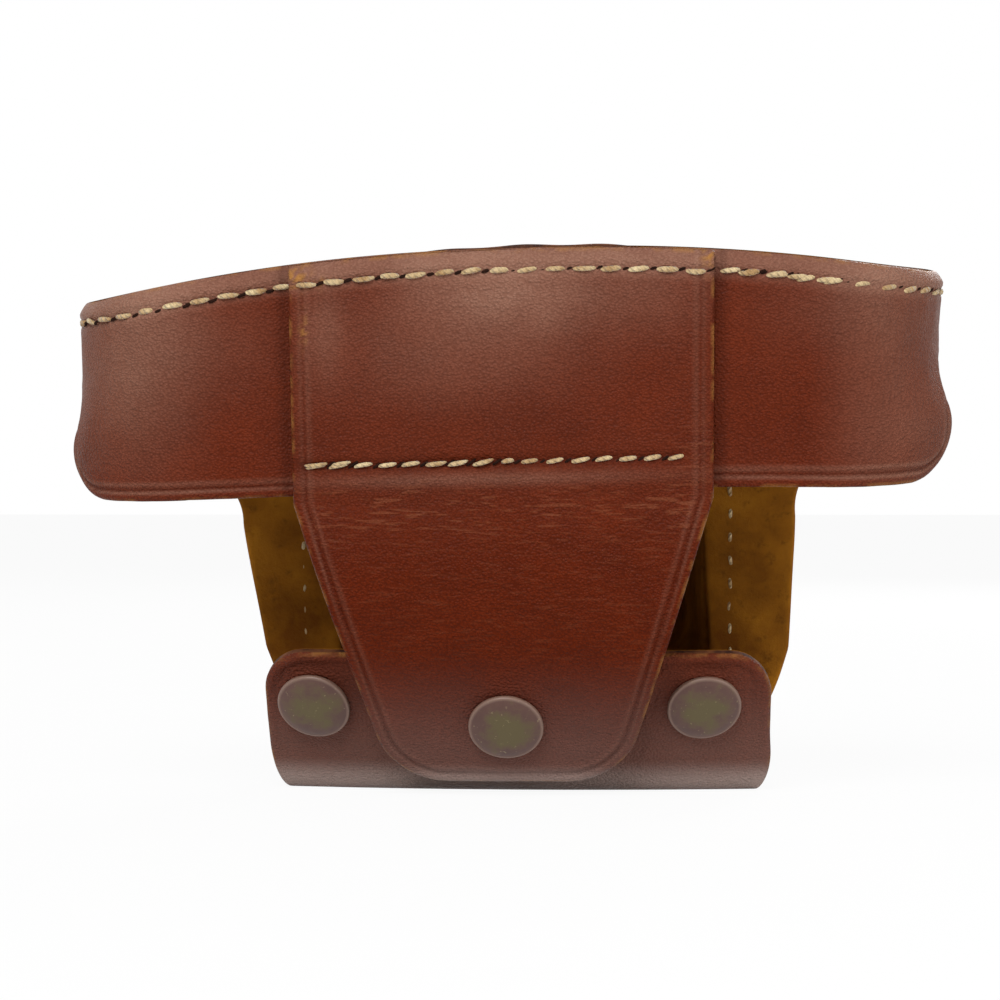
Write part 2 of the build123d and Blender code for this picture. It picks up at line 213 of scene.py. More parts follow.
# %% [markdown]
# Every leather piece is a flat cut first. A grid of flat points is bent into place by a function
# for its middle surface, then both faces are set off from it, and a rim closes the cut edge. Near
# the edge the faces draw together, which rounds the rim. Each point also keeps its distance to
# the cut edge, so that the finish can wear there.

# %% Sheets of leather
EDGE_ROUND = 0.9
MARKS = ("crease", "flex", "bloom", "bare")


def edge_lines(length, step, fine=(0.12, 0.35, 0.7, 1.2)):
    """Places along 0 to length: close together near both ends, about step apart between them."""
    count = max(2, round((length - 2 * fine[-1]) / step))
    inner = np.linspace(fine[-1], length - fine[-1], count + 1)
    return np.concatenate([[0], fine[:-1], inner, length - np.array(fine[-2::-1]), [length]])


def outline_of(kept):
    """Index pairs of the grid edges with a kept face on one side only, in walking order."""
    rows, columns = kept.shape
    index = np.arange((rows + 1) * (columns + 1)).reshape(rows + 1, columns + 1)
    low = np.vstack([kept, np.zeros((1, columns), bool)])
    high = np.vstack([np.zeros((1, columns), bool), kept])
    right = np.hstack([kept, np.zeros((rows, 1), bool)])
    left = np.hstack([np.zeros((rows, 1), bool), kept])
    pairs = [
        np.stack([index[:, :-1][low & ~high], index[:, 1:][low & ~high]], axis=1),
        np.stack([index[:, 1:][high & ~low], index[:, :-1][high & ~low]], axis=1),
        np.stack([index[1:, :][right & ~left], index[:-1, :][right & ~left]], axis=1),
        np.stack([index[:-1, :][left & ~right], index[1:, :][left & ~right]], axis=1),
    ]
    return np.concatenate(pairs)


def rim_of(flat, kept=None):
    """Starts and ends of the short segments along the cut edge of a grid of flat points."""
    if kept is None:
        kept = np.ones((flat.shape[0] - 1, flat.shape[1] - 1), bool)
    pairs = outline_of(kept)
    corners = flat.reshape(-1, 2)
    return corners[pairs[:, 0]], corners[pairs[:, 1]]


def distance_to(points, starts, ends, slice_size=1500):
    """Distance from each flat point to the nearest of the straight segments from starts to ends."""
    flat = points.reshape(-1, 2)
    course = ends - starts
    length2 = np.maximum((course**2).sum(1), 1e-12)
    found = np.empty(len(flat))
    for first in range(0, len(flat), slice_size):
        offset = flat[first:first + slice_size, None, :] - starts[None]
        t = np.clip((offset * course).sum(-1) / length2, 0, 1)
        found[first:first + slice_size] = np.sqrt(((offset - t[..., None] * course) ** 2).sum(-1)).min(1)
    return found.reshape(points.shape[:-1])


def put_mesh(name, points, faces, materials, face_material=None, **attributes):
    """A smooth mesh object in metres, with float attributes on its points."""
    mesh = bpy.data.meshes.new(name)
    mesh.from_pydata((points.reshape(-1, 3) * 0.001).tolist(), [], faces.tolist())
    for material in materials:
        mesh.materials.append(material)
    if face_material is not None:
        mesh.polygons.foreach_set("material_index", face_material.astype(np.int32))
    mesh.polygons.foreach_set("use_smooth", np.ones(len(faces), bool))
    for key, values in attributes.items():
        layer = mesh.attributes.new(key, "FLOAT", "POINT")
        layer.data.foreach_set("value", values.ravel().astype(np.float32))
    mesh.update()
    piece = bpy.data.objects.new(name, mesh)
    bpy.context.scene.collection.objects.link(piece)
    print(f"{name}: {len(points.reshape(-1, 3))} points, {len(faces)} faces")
    return piece


def face_normals(points, outward):
    """Unit normals of a grid of points, from its two directions, turned outward."""
    across = np.gradient(points, axis=1)
    up = np.gradient(points, axis=0)
    normal = np.cross(across, up) * outward
    return normal / np.maximum(np.linalg.norm(normal, axis=-1, keepdims=True), 1e-9)


def leather_sheet(name, flat, middle, outward, kept=None, relief=None, **marks):
    """A closed sheet from a grid of its middle surface: two faces, and a rim round every edge.

    relief raises the grain side. marks are values of 0 to 1 on the grid that the finish reads:
    crease for pressed lines and the painted shade in grooves and beside the strap, flex where
    it was bent, bloom for a painted sheen and highlights, and bare.
    """
    rows, columns = flat.shape[:2]
    if kept is None:
        kept = np.ones((rows - 1, columns - 1), bool)
    pairs = outline_of(kept)
    corners = flat.reshape(-1, 2)
    edge = distance_to(flat, corners[pairs[:, 0]], corners[pairs[:, 1]])
    short = np.clip(1 - edge / EDGE_ROUND, 0, 1)
    half = HIDE / 2 * (0.35 + 0.65 * np.sqrt(1 - short**2))
    normal = face_normals(middle, outward)
    rise = half if relief is None else half + relief
    outer = settle(middle + normal * rise[..., None])
    inner = settle(middle - normal * half[..., None])
    index = np.arange(rows * columns).reshape(rows, columns)
    quads = np.stack([index[:-1, :-1], index[:-1, 1:], index[1:, 1:], index[1:, :-1]], axis=-1)[kept]
    if outward < 0:
        quads = quads[:, ::-1]
        pairs = pairs[:, ::-1]
    back = quads[:, ::-1] + rows * columns
    rim = np.stack(
        [pairs[:, 1], pairs[:, 0], pairs[:, 0] + rows * columns, pairs[:, 1] + rows * columns], axis=1
    )
    faces = np.concatenate([quads, back, rim])
    points = np.concatenate([outer.reshape(-1, 3), inner.reshape(-1, 3)])
    used, faces = np.unique(faces, return_inverse=True)
    faces = faces.reshape(-1, 4)
    kinds = np.repeat([0, 1, 2], [len(quads), len(back), len(rim)])
    marks = {key: np.broadcast_to(np.clip(marks.get(key, 0), 0, 1), edge.shape).ravel() for key in MARKS}
    return put_mesh(
        name, points[used], faces, [grain_side, flesh_side, cut_edge], kinds,
        edge=np.concatenate([edge.ravel(), edge.ravel()])[used],
        **{key: np.concatenate([values, 0 * values])[used] for key, values in marks.items()},
    )


# %% [markdown]
# The leather is vegetable-tanned calf, dyed chestnut and waxed. Its grain side has fine pebbles
# and a soft gloss. A greyish painted sheen lies on the strap and towards the crown, most on the
# pebbles' crests. Where the leather has been bent, fine light cracks run along x. Pressed lines are
# darker in tone, and painted shade darkens them, the grooves, the dimples and the band beside the
# strap. A painted reflection of the pale table greys the part near it, palest low on the folds.
# Last, the dye has rubbed off along the edges and at marked corners. Each is a colour laid over
# the ones before, by its share.
# Patterns read the object's own coordinates, in metres, and a few values stored on the points.

# %% Grain side of the leather
GRAIN = 0.46 / 1000         # one pebble
PEBBLE_STRETCH = (0.9, 1.0, 1.15)       # a little wider than high
MOTTLE = 9.0 / 1000         # uneven dye
CRACK = 0.50 / 1000         # between two cracks
CRACK_STRETCH = (0.11, 1.0, 1.0)        # nine times as long as wide
SHEEN_CLOUD = 11.0 / 1000         # clouds in the painted sheen
SCUFFS = 260.0              # to a metre, one every 3.8 mm
# Heights in metres that bound the painted reflection of the pale table, low on the case and palest on the
# folds.
REFLECTION_TOP, REFLECTION_FULL = 0.027, 0.004
FOLD_REFLECTION_TOP, FOLD_REFLECTION_FULL = 0.0062, 0.0015
TABLE_LOW, TABLE_HIGH = 0.0001, 0.0008  # below this the leather lies on the table, out of the painted reflection


def waxed_calf(name, dull):
    """The grain side of the leather; dull is its roughness."""
    material, tree, shader, place = new_material(name)
    drawn = add(tree, "ShaderNodeMapping", {"Vector": place, "Scale": PEBBLE_STRETCH}).outputs["Vector"]
    edge, crease, flex, bloom, bare = (
        add(tree, "ShaderNodeAttribute", attribute_name=key).outputs["Fac"]
        for key in ("edge", *MARKS)
    )
    mottle = add(tree, "ShaderNodeTexNoise", {"Vector": place, "Scale": 1 / MOTTLE, "Detail": 6.0}).outputs[0]

    pebbles = add(
        tree, "ShaderNodeTexVoronoi", {"Vector": drawn, "Scale": 1 / GRAIN, "Smoothness": 0.35},
        feature="SMOOTH_F1",
    ).outputs["Distance"]
    fine = add(tree, "ShaderNodeTexNoise", {"Vector": drawn, "Scale": 1.4 / GRAIN, "Detail": 3.0}).outputs[0]
    relief = add(tree, "ShaderNodeMath", {0: pebbles, 1: -2.2, 2: fine}, operation="MULTIPLY_ADD").outputs[0]
    valley = add(
        tree, "ShaderNodeMapRange", {"Value": relief, "From Min": -0.2, "From Max": -0.9, "To Max": 0.32}
    )
    crest = add(
        tree, "ShaderNodeMapRange",
        {"Value": relief, "From Min": -0.9, "From Max": 0.1, "To Min": 0.78, "To Max": 1.12},
    )
    # Painted sheen: a greyish cast in clouds, strongest on the pebbles' crests, where the sheen mark on the
    # points says.
    cloud = add(tree, "ShaderNodeTexNoise", {"Vector": place, "Scale": 1 / SHEEN_CLOUD, "Detail": 4.0})
    uneven = add(
        tree, "ShaderNodeMapRange",
        {"Value": cloud.outputs[0], "From Min": 0.3, "From Max": 0.7, "To Min": 0.8, "To Max": 1.15},
    )
    crest_sheen = add(tree, "ShaderNodeMath", {0: crest.outputs[0], 1: uneven.outputs[0]}, operation="MULTIPLY")
    sheen_share = add(tree, "ShaderNodeMath", {0: crest_sheen.outputs[0], 1: bloom}, operation="MULTIPLY", use_clamp=True)

    # Painted shade in pressed lines, grooves, dimples and beside the strap, over the pressed lines' own
    # darker tone.
    painted_crease_shade = add(tree, "ShaderNodeMath", {0: crease, 1: 0.75}, operation="MULTIPLY")
    across = add(tree, "ShaderNodeMapping", {"Vector": place, "Scale": CRACK_STRETCH}).outputs["Vector"]
    cracks = add(
        tree, "ShaderNodeTexNoise", {"Vector": across, "Scale": 1 / CRACK, "Detail": 2.5, "Distortion": 0.4}
    )
    open_crack = add(
        tree, "ShaderNodeMapRange", {"Value": cracks.outputs[0], "From Min": 0.54, "From Max": 0.66}
    )
    cracked = add(tree, "ShaderNodeMath", {0: open_crack.outputs[0], 1: flex}, operation="MULTIPLY")
    shown = add(tree, "ShaderNodeMath", {0: cracked.outputs[0], 1: 0.36}, operation="MULTIPLY")

    height = add(tree, "ShaderNodeSeparateXYZ", {"Vector": place}).outputs["Z"]
    # Painted reflection of the pale table: the leather greys towards the bottom, paler still low on the
    # folds, except where it lies on the table.
    low = add(
        tree, "ShaderNodeMapRange",
        {"Value": height, "From Min": REFLECTION_TOP, "From Max": REFLECTION_FULL, "To Max": 0.58},
        interpolation_type="SMOOTHSTEP",
    )
    under = add(
        tree, "ShaderNodeMapRange",
        {"Value": height, "From Min": FOLD_REFLECTION_TOP, "From Max": FOLD_REFLECTION_FULL, "To Max": 0.62},
        interpolation_type="SMOOTHSTEP",
    )
    off_table = add(
        tree, "ShaderNodeMapRange",
        {"Value": height, "From Min": TABLE_LOW, "From Max": TABLE_HIGH, "To Min": 0.15},
    )
    fold_reflection = add(tree, "ShaderNodeMath", {0: under.outputs[0], 1: off_table.outputs[0]}, operation="MULTIPLY")

    scuffs = add(tree, "ShaderNodeTexNoise", {"Vector": place, "Scale": SCUFFS, "Detail": 5.0})
    near = add(
        tree, "ShaderNodeMapRange",
        {"Value": edge, "From Min": 0.05, "From Max": 0.75, "To Min": 0.62, "To Max": 0.0},
    )
    chance = add(tree, "ShaderNodeMapRange", {"Value": scuffs.outputs[0], "From Min": 0.46, "From Max": 0.62})
    rubbed = add(
        tree, "ShaderNodeMath",
        {0: near.outputs[0], 1: chance.outputs[0], 2: bare}, operation="MULTIPLY_ADD", use_clamp=True,
    )
    # In this stack, 936b59 is a painted sheen, 290b03 painted shade, and 745a52 and ae9e96 a painted
    # reflection of the pale table; the rest are the leather's own colours and wear.
    skin = colour("531904")
    for share, code in (
        (mottle, "6e2507"),
        (valley.outputs[0], "300b03"),
        (sheen_share.outputs[0], "936b59"),
        (painted_crease_shade.outputs[0], "290b03"),
        (shown.outputs[0], "8a4f34"),
        (low.outputs[0], "745a52"),
        (fold_reflection.outputs[0], "ae9e96"),
        (rubbed.outputs[0], "a2703a"),
    ):
        skin = add(
            tree, "ShaderNodeMix", {0: share, 6: skin, 7: colour(code)}, data_type="RGBA"
        ).outputs[2]
    gloss = add(
        tree, "ShaderNodeMapRange",
        {"Value": mottle, "From Min": 0.3, "From Max": 0.7, "To Min": dull - 0.05, "To Max": dull + 0.07},
    )
    cut = add(tree, "ShaderNodeMath", {0: cracked.outputs[0], 1: 0.45, 2: relief}, operation="MULTIPLY_ADD")
    bump = add(tree, "ShaderNodeBump", {"Strength": 0.9, "Distance": 0.00013, "Height": cut.outputs[0]})
    plug(tree, shader, {
        "Base Color": skin, "Roughness": gloss.outputs[0], "Specular IOR Level": 0.055,
        "Normal": bump.outputs["Normal"],
    })
    return material


grain_side = waxed_calf("waxed_chestnut_calf", 0.40)
strap_grain = waxed_calf("waxed_chestnut_calf_drawn", 0.37)

# %% [markdown]
# The flesh side was never dyed through. It is split suede: matt, ochre brown, with darker blots
# where the case has been damp, and a nap that scatters light. The cut edge was rubbed with wax,
# so it is darker than the grain, and lighter where its layers show.

# %% Flesh side and cut edge
BLOTS, SPOTS, NAP, LAYERS = 70.0, 420.0, 1500.0, 380.0     # to a metre: 14, 2.4, 0.7 and 2.6 mm

flesh_side, tree, shader, place = new_material("ochre_suede")
blots = add(tree, "ShaderNodeTexNoise", {"Vector": place, "Scale": BLOTS, "Detail": 6.0, "Roughness": 0.6})
spots = add(tree, "ShaderNodeTexNoise", {"Vector": place, "Scale": SPOTS, "Detail": 4.0, "Roughness": 0.7})
nap = add(tree, "ShaderNodeTexNoise", {"Vector": place, "Scale": NAP, "Detail": 6.0, "Roughness": 0.75})
blotted = add(tree, "ShaderNodeMapRange", {"Value": blots.outputs[0], "From Min": 0.36, "From Max": 0.66})
split = add(
    tree, "ShaderNodeMix", {0: blotted.outputs[0], 6: colour("70400e"), 7: colour("a3691b")},
    data_type="RGBA",
)
soiled = add(
    tree, "ShaderNodeMapRange", {"Value": spots.outputs[0], "From Min": 0.56, "From Max": 0.72, "To Max": 0.5}
)
fibres = add(
    tree, "ShaderNodeMix", {0: soiled.outputs[0], 6: split.outputs[2], 7: colour("4a2808")}, data_type="RGBA"
)
bump = add(tree, "ShaderNodeBump", {"Strength": 0.8, "Distance": 0.0003, "Height": nap.outputs[0]})
plug(tree, shader, {
    "Base Color": fibres.outputs[2], "Roughness": 0.95, "Specular IOR Level": 0.1,
    "Sheen Weight": 0.06, "Sheen Tint": colour("b08030"), "Normal": bump.outputs["Normal"],
})

cut_edge, tree, shader, place = new_material("burnished_leather_edge")
layers = add(tree, "ShaderNodeTexNoise", {"Vector": place, "Scale": LAYERS, "Detail": 5.0})
shown = add(tree, "ShaderNodeMapRange", {"Value": layers.outputs[0], "From Min": 0.4, "From Max": 0.7})
rubbed = add(
    tree, "ShaderNodeMix", {0: shown.outputs[0], 6: colour("35190f"), 7: colour("744528")},
    data_type="RGBA",
)
bump = add(tree, "ShaderNodeBump", {"Strength": 0.6, "Distance": 0.0002, "Height": layers.outputs[0]})
plug(tree, shader, {
    "Base Color": rubbed.outputs[2], "Roughness": 0.7, "Specular IOR Level": 0.2,
    "Normal": bump.outputs["Normal"],
})

# %% [markdown]
# The back band is one wide strip, sewn along its arched top and free below. Seen from above it
# runs straight across the back and round half of each end, where a slot leaves its corner free.
# Those corners have curled outwards. A line is pressed 2 mm inside the lower edge.

# %% Back band
PRESSED_LINE = 2.1          # from the cut edge
PRESSED_DEPTH = 0.38
PRESSED_WIDTH = 0.4


def slot_offset(w):
    """Half the slot's width at height w: round at the top, straight, then flared by the corner."""
    foot = band_foot(STRAIGHT + 14)
    flare = SLOT_SIDE + FREE_CORNER - np.sqrt(
        np.maximum(FREE_CORNER**2 - np.clip(foot + FREE_CORNER - w, 0, FREE_CORNER) ** 2, 0)
    )
    arch = np.sqrt(np.maximum(SLOT_SIDE**2 - np.clip(w - SLOT_TOP + SLOT_SIDE, 0, SLOT_SIDE) ** 2, 0))
    return np.where(w > SLOT_TOP - SLOT_SIDE, arch, flare)


def band_end(w):
    """How far round the band reaches at height w, measured along its middle surface."""
    return STRAIGHT + END_RADIUS * np.arccos(np.clip(slot_offset(w) / END_RADIUS, 0, 1))


def pressed(distance):
    """Cross-section of a pressed line: a smooth dent, with a low ridge on its inner side."""
    dent = bell(distance - PRESSED_LINE, PRESSED_WIDTH)
    return dent - 0.35 * bell(distance - PRESSED_LINE - 0.95, PRESSED_WIDTH)


def ridge_highlights(distance):
    """How much painted highlight lies on the two ridges beside a pressed line."""
    near = distance - PRESSED_LINE
    return 0.5 * bell(near + 0.55, 0.22) + 0.32 * bell(near - 0.95, 0.40)


def seam_pinch(below_edge):
    """How a seam pulls thick leather in: a groove at the stitches, and a bulge each side of it."""
    away = below_edge - EDGE_TO_SEAM
    return 0.35 * bell(away + 1.6, 1.3) - 0.45 * bell(away, 0.8)


def roll_over(below_edge):
    """The strip above the seam bends in towards the tray: how far, from the seam up to the edge."""
    return -1.0 * smooth(EDGE_TO_SEAM, 0, below_edge) ** 1.5


BAND_HEIGHT = 41.0          # the rows are spaced on this, then fitted to each column
band_rows = edge_lines(BAND_HEIGHT, 0.62) / BAND_HEIGHT
end_low, end_high = band_foot(STRAIGHT + 14), crown(STRAIGHT + 20)
row_end = band_end(end_low + (end_high - end_low) * band_rows)
band_columns = edge_lines(2 * HALF_ROUND, 0.62) / HALF_ROUND - 1
s = row_end[:, None] * band_columns[None, :]
x = round_hood(s, 0, -1)[..., 0]
w = band_foot(x) + (crown(x) - band_foot(x)) * band_rows[:, None]
band_flat = np.stack([s, w], axis=-1)
band_middle = round_hood(s, w, -1)

near_end = smooth(54, 80, np.abs(s))
above_foot = w - band_foot(x)
curl = np.where(x > 0, 3.0, 2.7) * bell(above_foot - 8.5, 7.5)
band_middle[..., 0] += np.sign(s) * near_end * curl
band_middle[..., 1] -= 0.9 * smooth(46, 70, np.abs(s)) * bell(above_foot, 9)

rim_start, rim_end = rim_of(band_flat)
lower = (rim_start[:, 1] < SLOT_TOP - 9) & (rim_end[:, 1] < SLOT_TOP - 9)
to_lower = distance_to(band_flat, rim_start[lower], rim_end[lower])
line = pressed(to_lower) * smooth(SLOT_TOP - 4, SLOT_TOP - 16, w)
band_relief = (
    -PRESSED_DEPTH * line
    + seam_pinch(crown(x) - w) + roll_over(crown(x) - w)
    + 0.16 * waves(band_flat, 18, 45, 14, 3)
    + 0.03 * waves(band_flat, 3, 7, 16, 4)
)
# Painted shade on the band along both sides of the strap.
strap_shadow = bell(np.abs(s) - 36.9, 1.0)
# Painted sheen and highlights: the band's upper left, its right end, the rolled strip under the crown, and
# the ridges beside the pressed line.
band_sheen = (
    0.40 * smooth(-46, -66, s) * smooth(52, 84, w) + 0.26 * patch(band_flat, (-57, 88), (15, 9))
    + 0.30 * smooth(50, 66, s) * smooth(48, 70, w) + 0.14 * patch(band_flat, (56, 91), (14, 7))
    + 0.60 * smooth(5.5, 2.0, crown(x) - w)
    + ridge_highlights(to_lower) * smooth(SLOT_TOP - 4, SLOT_TOP - 16, w) + 0.04
)
back_band = leather_sheet(
    "back_band_leather", band_flat, band_middle, 1, relief=band_relief,
    crease=0.35 * line + 0.45 * strap_shadow, bloom=band_sheen,
)

# %% [markdown]
# The closing strap is one leather from the crown to its tip. Above the bend it lies flat on the
# band. Below, it bows outwards and runs down beside the base wall. Its path is a chain of short
# steps, and the strap is placed along it by length, as a tailor's tape would be.

# %% Closing strap
STRAP_HALF, TIP_HALF, TIP_CORNER = 35.7, 20.25, 9.5
BEND_HEIGHT = 59.4
TIP_Z = 2.9
BOW_RADIUS = 53.0
START_LEAN, WALL_LEAN = math.radians(-4.0), math.radians(32.0)
BAND_FACE_V = HIDE / 2 - HOOD_DEPTH
CROSS_SEAM = 6.8            # above the bend
CROSS_FROM, CROSS_TO = -34.0, 30.0

outer_bend = hood_point(0, BAND_FACE_V - HIDE, BEND_HEIGHT)[1:]
inward = np.array([math.cos(START_LEAN), math.sin(START_LEAN)])
bow_start = outer_bend + inward * HIDE / 2
bow_centre = bow_start + inward * BOW_RADIUS
leans = np.linspace(START_LEAN, WALL_LEAN, 60)
bow = bow_centre - BOW_RADIUS * np.stack([np.cos(leans), np.sin(leans)], axis=1)
down_wall = np.array([math.sin(WALL_LEAN), -math.cos(WALL_LEAN)])
tail = bow[-1] + down_wall * np.linspace(0.5, 30, 60)[:, None]
top_of_root = hood_point(0, BAND_FACE_V - HIDE / 2, BEND_HEIGHT + np.linspace(45, 0.8, 60))[:, 1:]
strap_path = np.concatenate([top_of_root, bow, tail])
for _ in range(6):
    strap_path[1:-1] = (strap_path[:-2] + 2 * strap_path[1:-1] + strap_path[2:]) / 4
steps = np.linalg.norm(np.diff(strap_path, axis=0), axis=1)
path_length = np.concatenate([[0], np.cumsum(steps)])
bend_at = np.interp(-outer_bend[1], -strap_path[:, 1], path_length)
path_q = bend_at - path_length


def strap_place(x, q):
    """Middle surface of the strap, at x across it and q along it above (+) or below the bend."""
    y = np.interp(-q, -path_q, strap_path[:, 0])
    z = np.interp(-q, -path_q, strap_path[:, 1])
    return np.stack(np.broadcast_arrays(x, y, z), axis=-1)


tip_q = np.interp(-TIP_Z, -strap_path[:, 1], path_q)
root_top = float(crown(0)) - BEND_HEIGHT
strap_q = tip_q + edge_lines(root_top - tip_q, 0.55)
row_z = strap_place(0, strap_q)[:, 2]
taper = np.clip((row_z - TIP_Z) / (outer_bend[1] - TIP_Z), 0, 1)
half = TIP_HALF + (STRAP_HALF - TIP_HALF) * taper
above_tip = np.clip(TIP_CORNER - (strap_q - tip_q), 0, TIP_CORNER)
half = half - TIP_CORNER + np.sqrt(TIP_CORNER**2 - above_tip**2)
strap_columns = edge_lines(2 * STRAP_HALF, 0.55) / STRAP_HALF - 1
x = half[:, None] * strap_columns[None, :]
q = np.broadcast_to(strap_q[:, None], x.shape).copy()
top_share = smooth(8, root_top, q)
q += (crown(x) - CROWN_HEIGHT) * top_share
strap_flat = np.stack([x, q], axis=-1)
strap_middle = strap_place(x, q)
strap_middle[..., 1] += 0.004 * np.clip(np.abs(x) - 12, 0, None) ** 1.6 * smooth(-4, -34, q)

rim_start, rim_end = rim_of(strap_flat)
sides = np.maximum(rim_start[:, 1], rim_end[:, 1]) < root_top - 2
to_side = distance_to(strap_flat, rim_start[sides], rim_end[sides])
line = pressed(to_side) * np.where(q > CROSS_SEAM, 0.6, 1.0)
below_crown = root_top + crown(x) - CROWN_HEIGHT - q
in_seam = smooth(CROSS_FROM - 2, CROSS_FROM + 1, x) * smooth(CROSS_TO + 2, CROSS_TO - 1, x)
groove = in_seam * bell(q - CROSS_SEAM, 0.9)
bulge = bell(q - CROSS_SEAM + 2.7, 1.5)
wrinkled = bell(q + 1.0, 5.0) + 0.35 * bell(q + 18, 14.0)
wrinkles = waves(strap_flat, 2.2, 4.5, 26, 8, squeeze=(0.18, 1.0))
strap_relief = (
    -PRESSED_DEPTH * line - 0.45 * groove + 0.30 * bulge
    + seam_pinch(below_crown) + roll_over(below_crown)
    - 0.09 * wrinkled * np.abs(wrinkles)
    + 0.14 * waves(strap_flat, 16, 40, 14, 9)
    + 0.02 * waves(strap_flat, 3, 6, 16, 10, squeeze=(0.5, 1.0))
)
# Painted shade in the pressed lines and the seam's groove, and down the strap below the bend, over the
# pressed lines' own darker tone.
strap_crease_shade = 0.3 * line + 0.5 * groove + 0.12 * smooth(10, -12, q)
# Painted sheen and highlights: the strap's upper middle, the ridge just below the bend, the rolled strip
# under the crown, and the ridges beside the pressed lines.
strap_sheen = (
    0.80 * patch(strap_flat, (0, 34.5), (16, 6.5)) + 0.22 * patch(strap_flat, (-8, 24), (20, 7))
    + 0.22 * patch(strap_flat, (26, 33), (9, 6)) + 0.28 * patch(strap_flat, (-30, 30), (3.5, 8))
    + 0.34 * patch(strap_flat, (-4, 4.0), (30, 1.2)) + 0.60 * smooth(5.5, 2.0, below_crown)
    + 0.5 * ridge_highlights(to_side) + 0.05 * smooth(-14, 8, strap_flat[..., 1])
)
flecks = smooth(-0.3, 0.5, waves(strap_flat, 0.8, 2, 12, 41))
strap_bare = flecks * (
    1.2 * patch(strap_flat, (-34.6, root_top - 3.6), (2.2, 1.5))
    + 1.2 * patch(strap_flat, (34.7, root_top - 1.8), (1.0, 2.4))
    + 0.8 * patch(strap_flat, (-30.0, root_top - 4.6), (0.7, 0.8))
    + 0.7 * patch(strap_flat, (-33.2, 29.5), (0.6, 2.2))
)
strap_flex = (
    np.clip(wrinkled, 0.12, 1) * smooth(CROSS_SEAM + 1, CROSS_SEAM - 1, q)
    + 0.8 * patch(strap_flat, (33, 8.5), (5, 4))
)
closing_strap = leather_sheet(
    "closing_strap_leather", strap_flat, strap_middle, 1, relief=strap_relief,
    crease=strap_crease_shade, flex=strap_flex, bloom=strap_sheen, bare=strap_bare,
)
closing_strap.data.materials[0] = strap_grain

# %% [markdown]
# The front panel and the base flap are one leather too. It hangs down the front of the hood,
# folds under the camera, folds up again behind it, and ends in the wall that carries the snap
# fasteners. A window is cut for the nose. Its wings reach round the ends to meet the band. The
# wall is part of a cone, so it bulges backwards.

# %% Front panel and base flap
NOSE_HALF_W, NOSE_HALF_H, NOSE_MIDDLE, NOSE_CORNER = 34.5, 26.0, 38.0, 13.0
WING_AT, WING_FILLET = 59.8, 11.0
WALL_TOP, WALL_CORNER = 25.8, 7.5
WALL_CENTRE_Y = 209.444     # of the cone that the wall is part of
FOLD_FOOT_Y = -11.7075
FOLD_HALF = 40.6            # half the width where the leather folds
PATH_TOP = 110.0            # where the path starts; the leather itself ends at the crown
FRONT_FOLD, REAR_FOLD = 1.6, 3.4
SKEW = 1.4                  # the lower half was cut a little off the middle


def round_corner(before, corner, after, radius, count=16):
    """Points of the arc of that radius that touches both runs: start + turn by equal angles."""
    into = (before - corner) / np.linalg.norm(before - corner)
    out = (after - corner) / np.linalg.norm(after - corner)
    half_angle = math.acos(into @ out) / 2
    centre = corner + (into + out) / np.linalg.norm(into + out) * radius / math.sin(half_angle)
    reach = radius / math.tan(half_angle)
    start, end = corner + into * reach - centre, corner + out * reach - centre
    first, last = math.atan2(start[1], start[0]), math.atan2(end[1], end[0])
    swing = (last - first + math.pi) % (2 * math.pi) - math.pi
    angles = first + swing * np.linspace(0, 1, count)
    return centre + radius * np.stack([np.cos(angles), np.sin(angles)], axis=1)


up_wall = np.array([-math.sin(WALL_LEAN), math.cos(WALL_LEAN)])
panel_top = hood_point(0, 0, PATH_TOP)[1:]
front_corner = np.array([FOLD_Y, HIDE / 2])
rear_corner = np.array([FOLD_FOOT_Y, HIDE / 2])
wall_end = rear_corner + up_wall * (WALL_TOP - HIDE / 2) / math.cos(WALL_LEAN)
fold_path = np.concatenate([
    [panel_top],
    round_corner(panel_top, front_corner, rear_corner, FRONT_FOLD),
    round_corner(front_corner, rear_corner, wall_end, REAR_FOLD),
    [wall_end],
])
run = np.concatenate([[0], np.cumsum(np.linalg.norm(np.diff(fold_path, axis=0), axis=1))])
fold_p = FRONT_FOLD * math.tan(math.radians(50)) + run[1] - run
wall_p = fold_p[-1]
print(
    "leather from crown to wall top:", round(float(fold_p[0] - wall_p - (PATH_TOP - CROWN_HEIGHT)), 1), "mm"
)


def fold_place(x, p):
    """Middle surface: p is the height up the front, and below 0 the way along base and wall."""
    y = np.interp(-p, -fold_p, fold_path[:, 0])
    z = np.interp(-p, -fold_p, fold_path[:, 1])
    cone = np.clip(WALL_CENTRE_Y - y, 150, None)
    bulge = (cone - np.sqrt(np.maximum(cone**2 - x**2, 0))) * smooth(6, -11, y) * (p < 5)
    return np.stack(np.broadcast_arrays(x, y + bulge, z), axis=-1)


def panel_half(p):
    """Half the leather's width at p: narrow at the fold, wider at hip and waist, then the wings."""
    z = np.interp(-p, -fold_p, fold_path[:, 1])
    below = FOLD_HALF + 4.2 * np.sqrt(1 - np.clip(1 - z / 9, 0, 1) ** 2)
    corner = np.clip(z - (WALL_TOP - WALL_CORNER), 0, WALL_CORNER)
    below = below - WALL_CORNER + np.sqrt(WALL_CORNER**2 - corner**2)
    above = np.interp(p, [0, 24, 48, 200], [FOLD_HALF, 48.5, 51, 51])
    fillet = np.clip(p - (WING_AT - WING_FILLET), 0, WING_FILLET)
    above = above + WING_FILLET - np.sqrt(WING_FILLET**2 - fillet**2)
    return np.where(p > 0, above, below)


